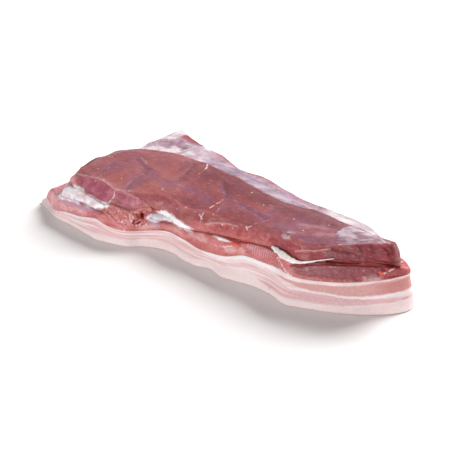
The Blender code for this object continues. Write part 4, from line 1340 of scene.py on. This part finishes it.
# %% Finish of the upper lean
def upper_lean_colour(net):
    """Dried brown red, mauve along the bands, a redder wall, fresh magenta cuts, a milky film."""
    x, fall, behind = net.here("X"), net.mark("fall"), net.mark("behind")
    net.colour = net.mottled((140, 76, 82), (154, 86, 84), 34)
    middle = net.mottled((128, 54, 62), (140, 62, 66), 40)
    net.shade(x, (middle, -0.06, -0.02, 0.8), ((130, 74, 90), 0.03, 0.1, 0.75))
    along_x, along_y = net.noise(75, 3.0, (0.25, 1.0, 1.0)), net.noise(75, 3.0, (1.0, 0.25, 1.0))
    broad = net.blend(along_y, along_x, net.ramp(x, -0.02, 0.02))
    net.shade(broad, ((166, 98, 94), 0.52, 0.68, 0.35), ((122, 64, 80), 0.48, 0.34, 0.5))
    for colour, name, strength, wide, scale in [
            ((154, 74, 64), "rust", 0.5, 7.0, 120), ((126, 80, 106), "mauve", 0.65, 7.5, 110),
            ((122, 60, 68), "dark", 0.7, 6.0, 120), ((188, 134, 140), "bloom", 0.5, 6.5, 120)]:
        net.tint(colour, name, strength, wide, scale)
    net.patch((106, 64, 86), "groove", -0.2, 2.4, 0.9, 260, 0.4)
    net.lay((112, 52, 58), net.ramp(behind, 0.5, 0.78), net.ramp(x, -0.08, -0.03), 0.75)
    # painted light: the front slope is made lighter as it faces away from the lamp; its redder tone is its
    # own
    slope = net.mottled((168, 86, 90), (188, 108, 108), 90)
    net.lay(slope, net.ramp(fall, 0.0, 0.06), net.ramp(behind, 0.5, 0.3), 0.75)
    hidden_wall = net.times(net.ramp(fall, 0.3, 0.8), net.ramp(behind, 0.4, 0.6))
    wall = net.over(net.mottled((176, 84, 86), (204, 116, 112), 110),
                    net.mottled((152, 54, 61), (174, 78, 80), 110), net.ramp(x, 0.03, 0.08))
    net.lay(wall, net.maths("MAXIMUM", hidden_wall, net.ragged("front", -0.6, 2.0, 1.2, 200)), 0.85)
    # painted light: the wall's lower part at the left is lightened against the shade at its foot
    net.lay((220, 128, 124), net.ramp(fall, 0.75, 0.95), net.ramp(x, 0.08, 0.06), 0.8)
    # painted shade: the wall's sole over the cleft, in dark red
    net.lay((140, 24, 28), net.ramp(fall, 0.985, 1.0), net.ramp(x, 0.06, 0.08))
    net.tint((168, 54, 54), "red", 0.75, 4.5, 200)
    net.patch(net.mottled((106, 22, 34), (138, 42, 52), 160), "raw", -0.8, 2.6, 1.6, 200, 0.9)
    net.patch(net.mottled((168, 82, 102), (192, 112, 126), 170), "cut", -0.6, 1.2, 0.9, 350)
    net.tint((228, 162, 162), "nub", 0.9, 5.5, 260)
    grain = net.use(FIBRE_GRAIN, Scale=620.0)
    net.shade(grain, ((112, 56, 64), 0.48, 0.28, 0.6), ((206, 156, 154), 0.54, 0.76, 0.5))
    # painted highlight: fine glints of wet lean
    net.lay((226, 192, 194), net.use(GLINT_SPECKS, Scale=560.0, Size=0.24, Cover=0.65), 0.55)
    milky = net.mottled((136, 102, 116), (196, 180, 189), 130, 5.0, 0.4, 0.58, (0.5, 1.0, 1.0))
    net.patch(milky, "film", -0.6, 1.6, 1.4, 260, 0.85)
    # pale rim: partly sinew, partly a painted highlight along the edge
    net.patch((218, 176, 174), "edge", 0.0, 1.1, 0.6, 400, 0.55)
    lay_shared_features(net)
    return grain


# %% Finishes of the loose bits
def torn_colour(net):
    """Salmon and red shreds; deep red in the hollow, partly the meat's own red, partly painted shade."""
    net.colour = net.mottled((182, 92, 98), (216, 138, 138), 240)
    net.tint((204, 116, 106), "flap", 0.8, 3.0, 260)
    lay_shared_features(net)
    # painted shade: the hollow in deep red, partly the meat's own red
    net.patch((150, 20, 20), "hollow", 0.9, 1.6, 0.6, 300)
    return net.use(FIBRE_GRAIN, Scale=620.0)


def curl_colour(net):
    """Orange brown shred, darker in patches."""
    net.colour = net.mottled((150, 58, 42), (206, 118, 88), 380)
    return net.noise(900)


def lip_colour(net):
    """Clean white fat, a little pink in its hollows."""
    net.colour = net.mottled((255, 250, 248), (244, 224, 222), 300)
    return net.noise(500)


# %% Put the finishes on
LEAN, FAT = 0.15, 0.3       # glow: how much of the light goes in below the skin
DRESSING = [    # piece, node, slot, finish, its colours, depth of grain in mm, roughness wet and dry, glow
    (belly_fat, "belly_fat", "fat_and_rind", "streaky_fat", fat_colour, 0.25, 0.38, 0.52, FAT),
    (lower_muscle, "lower_muscle", "lower_lean", "pink_lean", lower_lean_colour, 0.45, 0.34, 0.5, LEAN),
    (seam_fat, "seam_fat", "white_fat", "soft_white_fat", seam_colour, 0.3, 0.34, 0.5, FAT),
    (upper_muscle, "upper_muscle", "upper_lean", "dried_lean", upper_lean_colour, 0.35, 0.42, 0.56, LEAN),
    (lip, None, "white_fat", "lip_of_fat", lip_colour, 0.3, 0.3, 0.45, FAT),
    (torn, None, "lower_lean", "torn_lean", torn_colour, 0.4, 0.3, 0.45, LEAN),
    (curl, None, "upper_lean", "curled_skin", curl_colour, 0.2, 0.25, 0.35, LEAN),
]
for piece, node, slot, *look in DRESSING:
    piece.data.materials.append(finish(*look))
    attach(piece, "root")
    if node:
        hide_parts(node)
    print(piece.name, "stands for", node, "in", slot)

# %% [markdown]
# ## Floor and light
# The photograph is a cut-out on white: pale floor, soft shadow to the front left, bright front wall. A
# broad lamp behind and above throws that shadow. A low, wide lamp in front brightens the fat's wall: it
# grazes the floor, so it hardly thins the shadow.

# %% Floor, lamps and world
FLOOR_HALF = 3.0            # metres from the floor's middle to its edges
ROOM_LIGHT = 0.33           # strength of the white that surrounds everything
LAMPS = [                   # name, place and aim in mm, width and height in metres, power in watts
    ("key_behind", (290, 920, 930), (0, 0, 0), 0.85, 0.85, 33),
    ("low_front", (-60, -1500, 130), (0, 0, 30), 1.2, 0.22, 11),
]

paper = bpy.data.materials.new("pale_floor")
paper.use_nodes = True
net = Net(paper.node_tree)
net.fill(net.tree.nodes["Principled BSDF"], {
    "Base Color": net.mottled((250, 248, 247), (247, 245, 244), 3, 2.0, 0.3, 0.7), "Roughness": 0.8,
    "Specular IOR Level": 0.1})
sheet = bpy.data.meshes.new("floor")
corners = [(x * FLOOR_HALF, y * FLOOR_HALF, 0) for x, y in ((-1, -1), (1, -1), (1, 1), (-1, 1))]
sheet.from_pydata(corners, [], [(0, 1, 2, 3)])
sheet.materials.append(paper)
floor = placed("floor", sheet)

for name, at, aim, width, height, power in LAMPS:
    light = bpy.data.lights.new(name, "AREA")
    light.shape = "RECTANGLE"
    light.size, light.size_y, light.energy = width, height, power
    placed(name, light, at, np.subtract(aim, at))

world = bpy.data.worlds.new("white_room")
world.use_nodes = True
net = Net(world.node_tree)
net.fill(net.tree.nodes["Background"], {"Color": (1, 1, 1, 1), "Strength": ROOM_LIGHT})
bpy.context.scene.world = world
bpy.context.scene.view_settings.view_transform = "Standard"

# %% [markdown]
# ## The solids' box again
# The dressed slab has to stay inside the solids' box, which is written down once more. Both boxes are
# written down, so they can be
# compared after each render.

# %% Sizes, and the end
print("solids, mm: ", np.round(np.array(cad_box) / MM, 1).tolist())
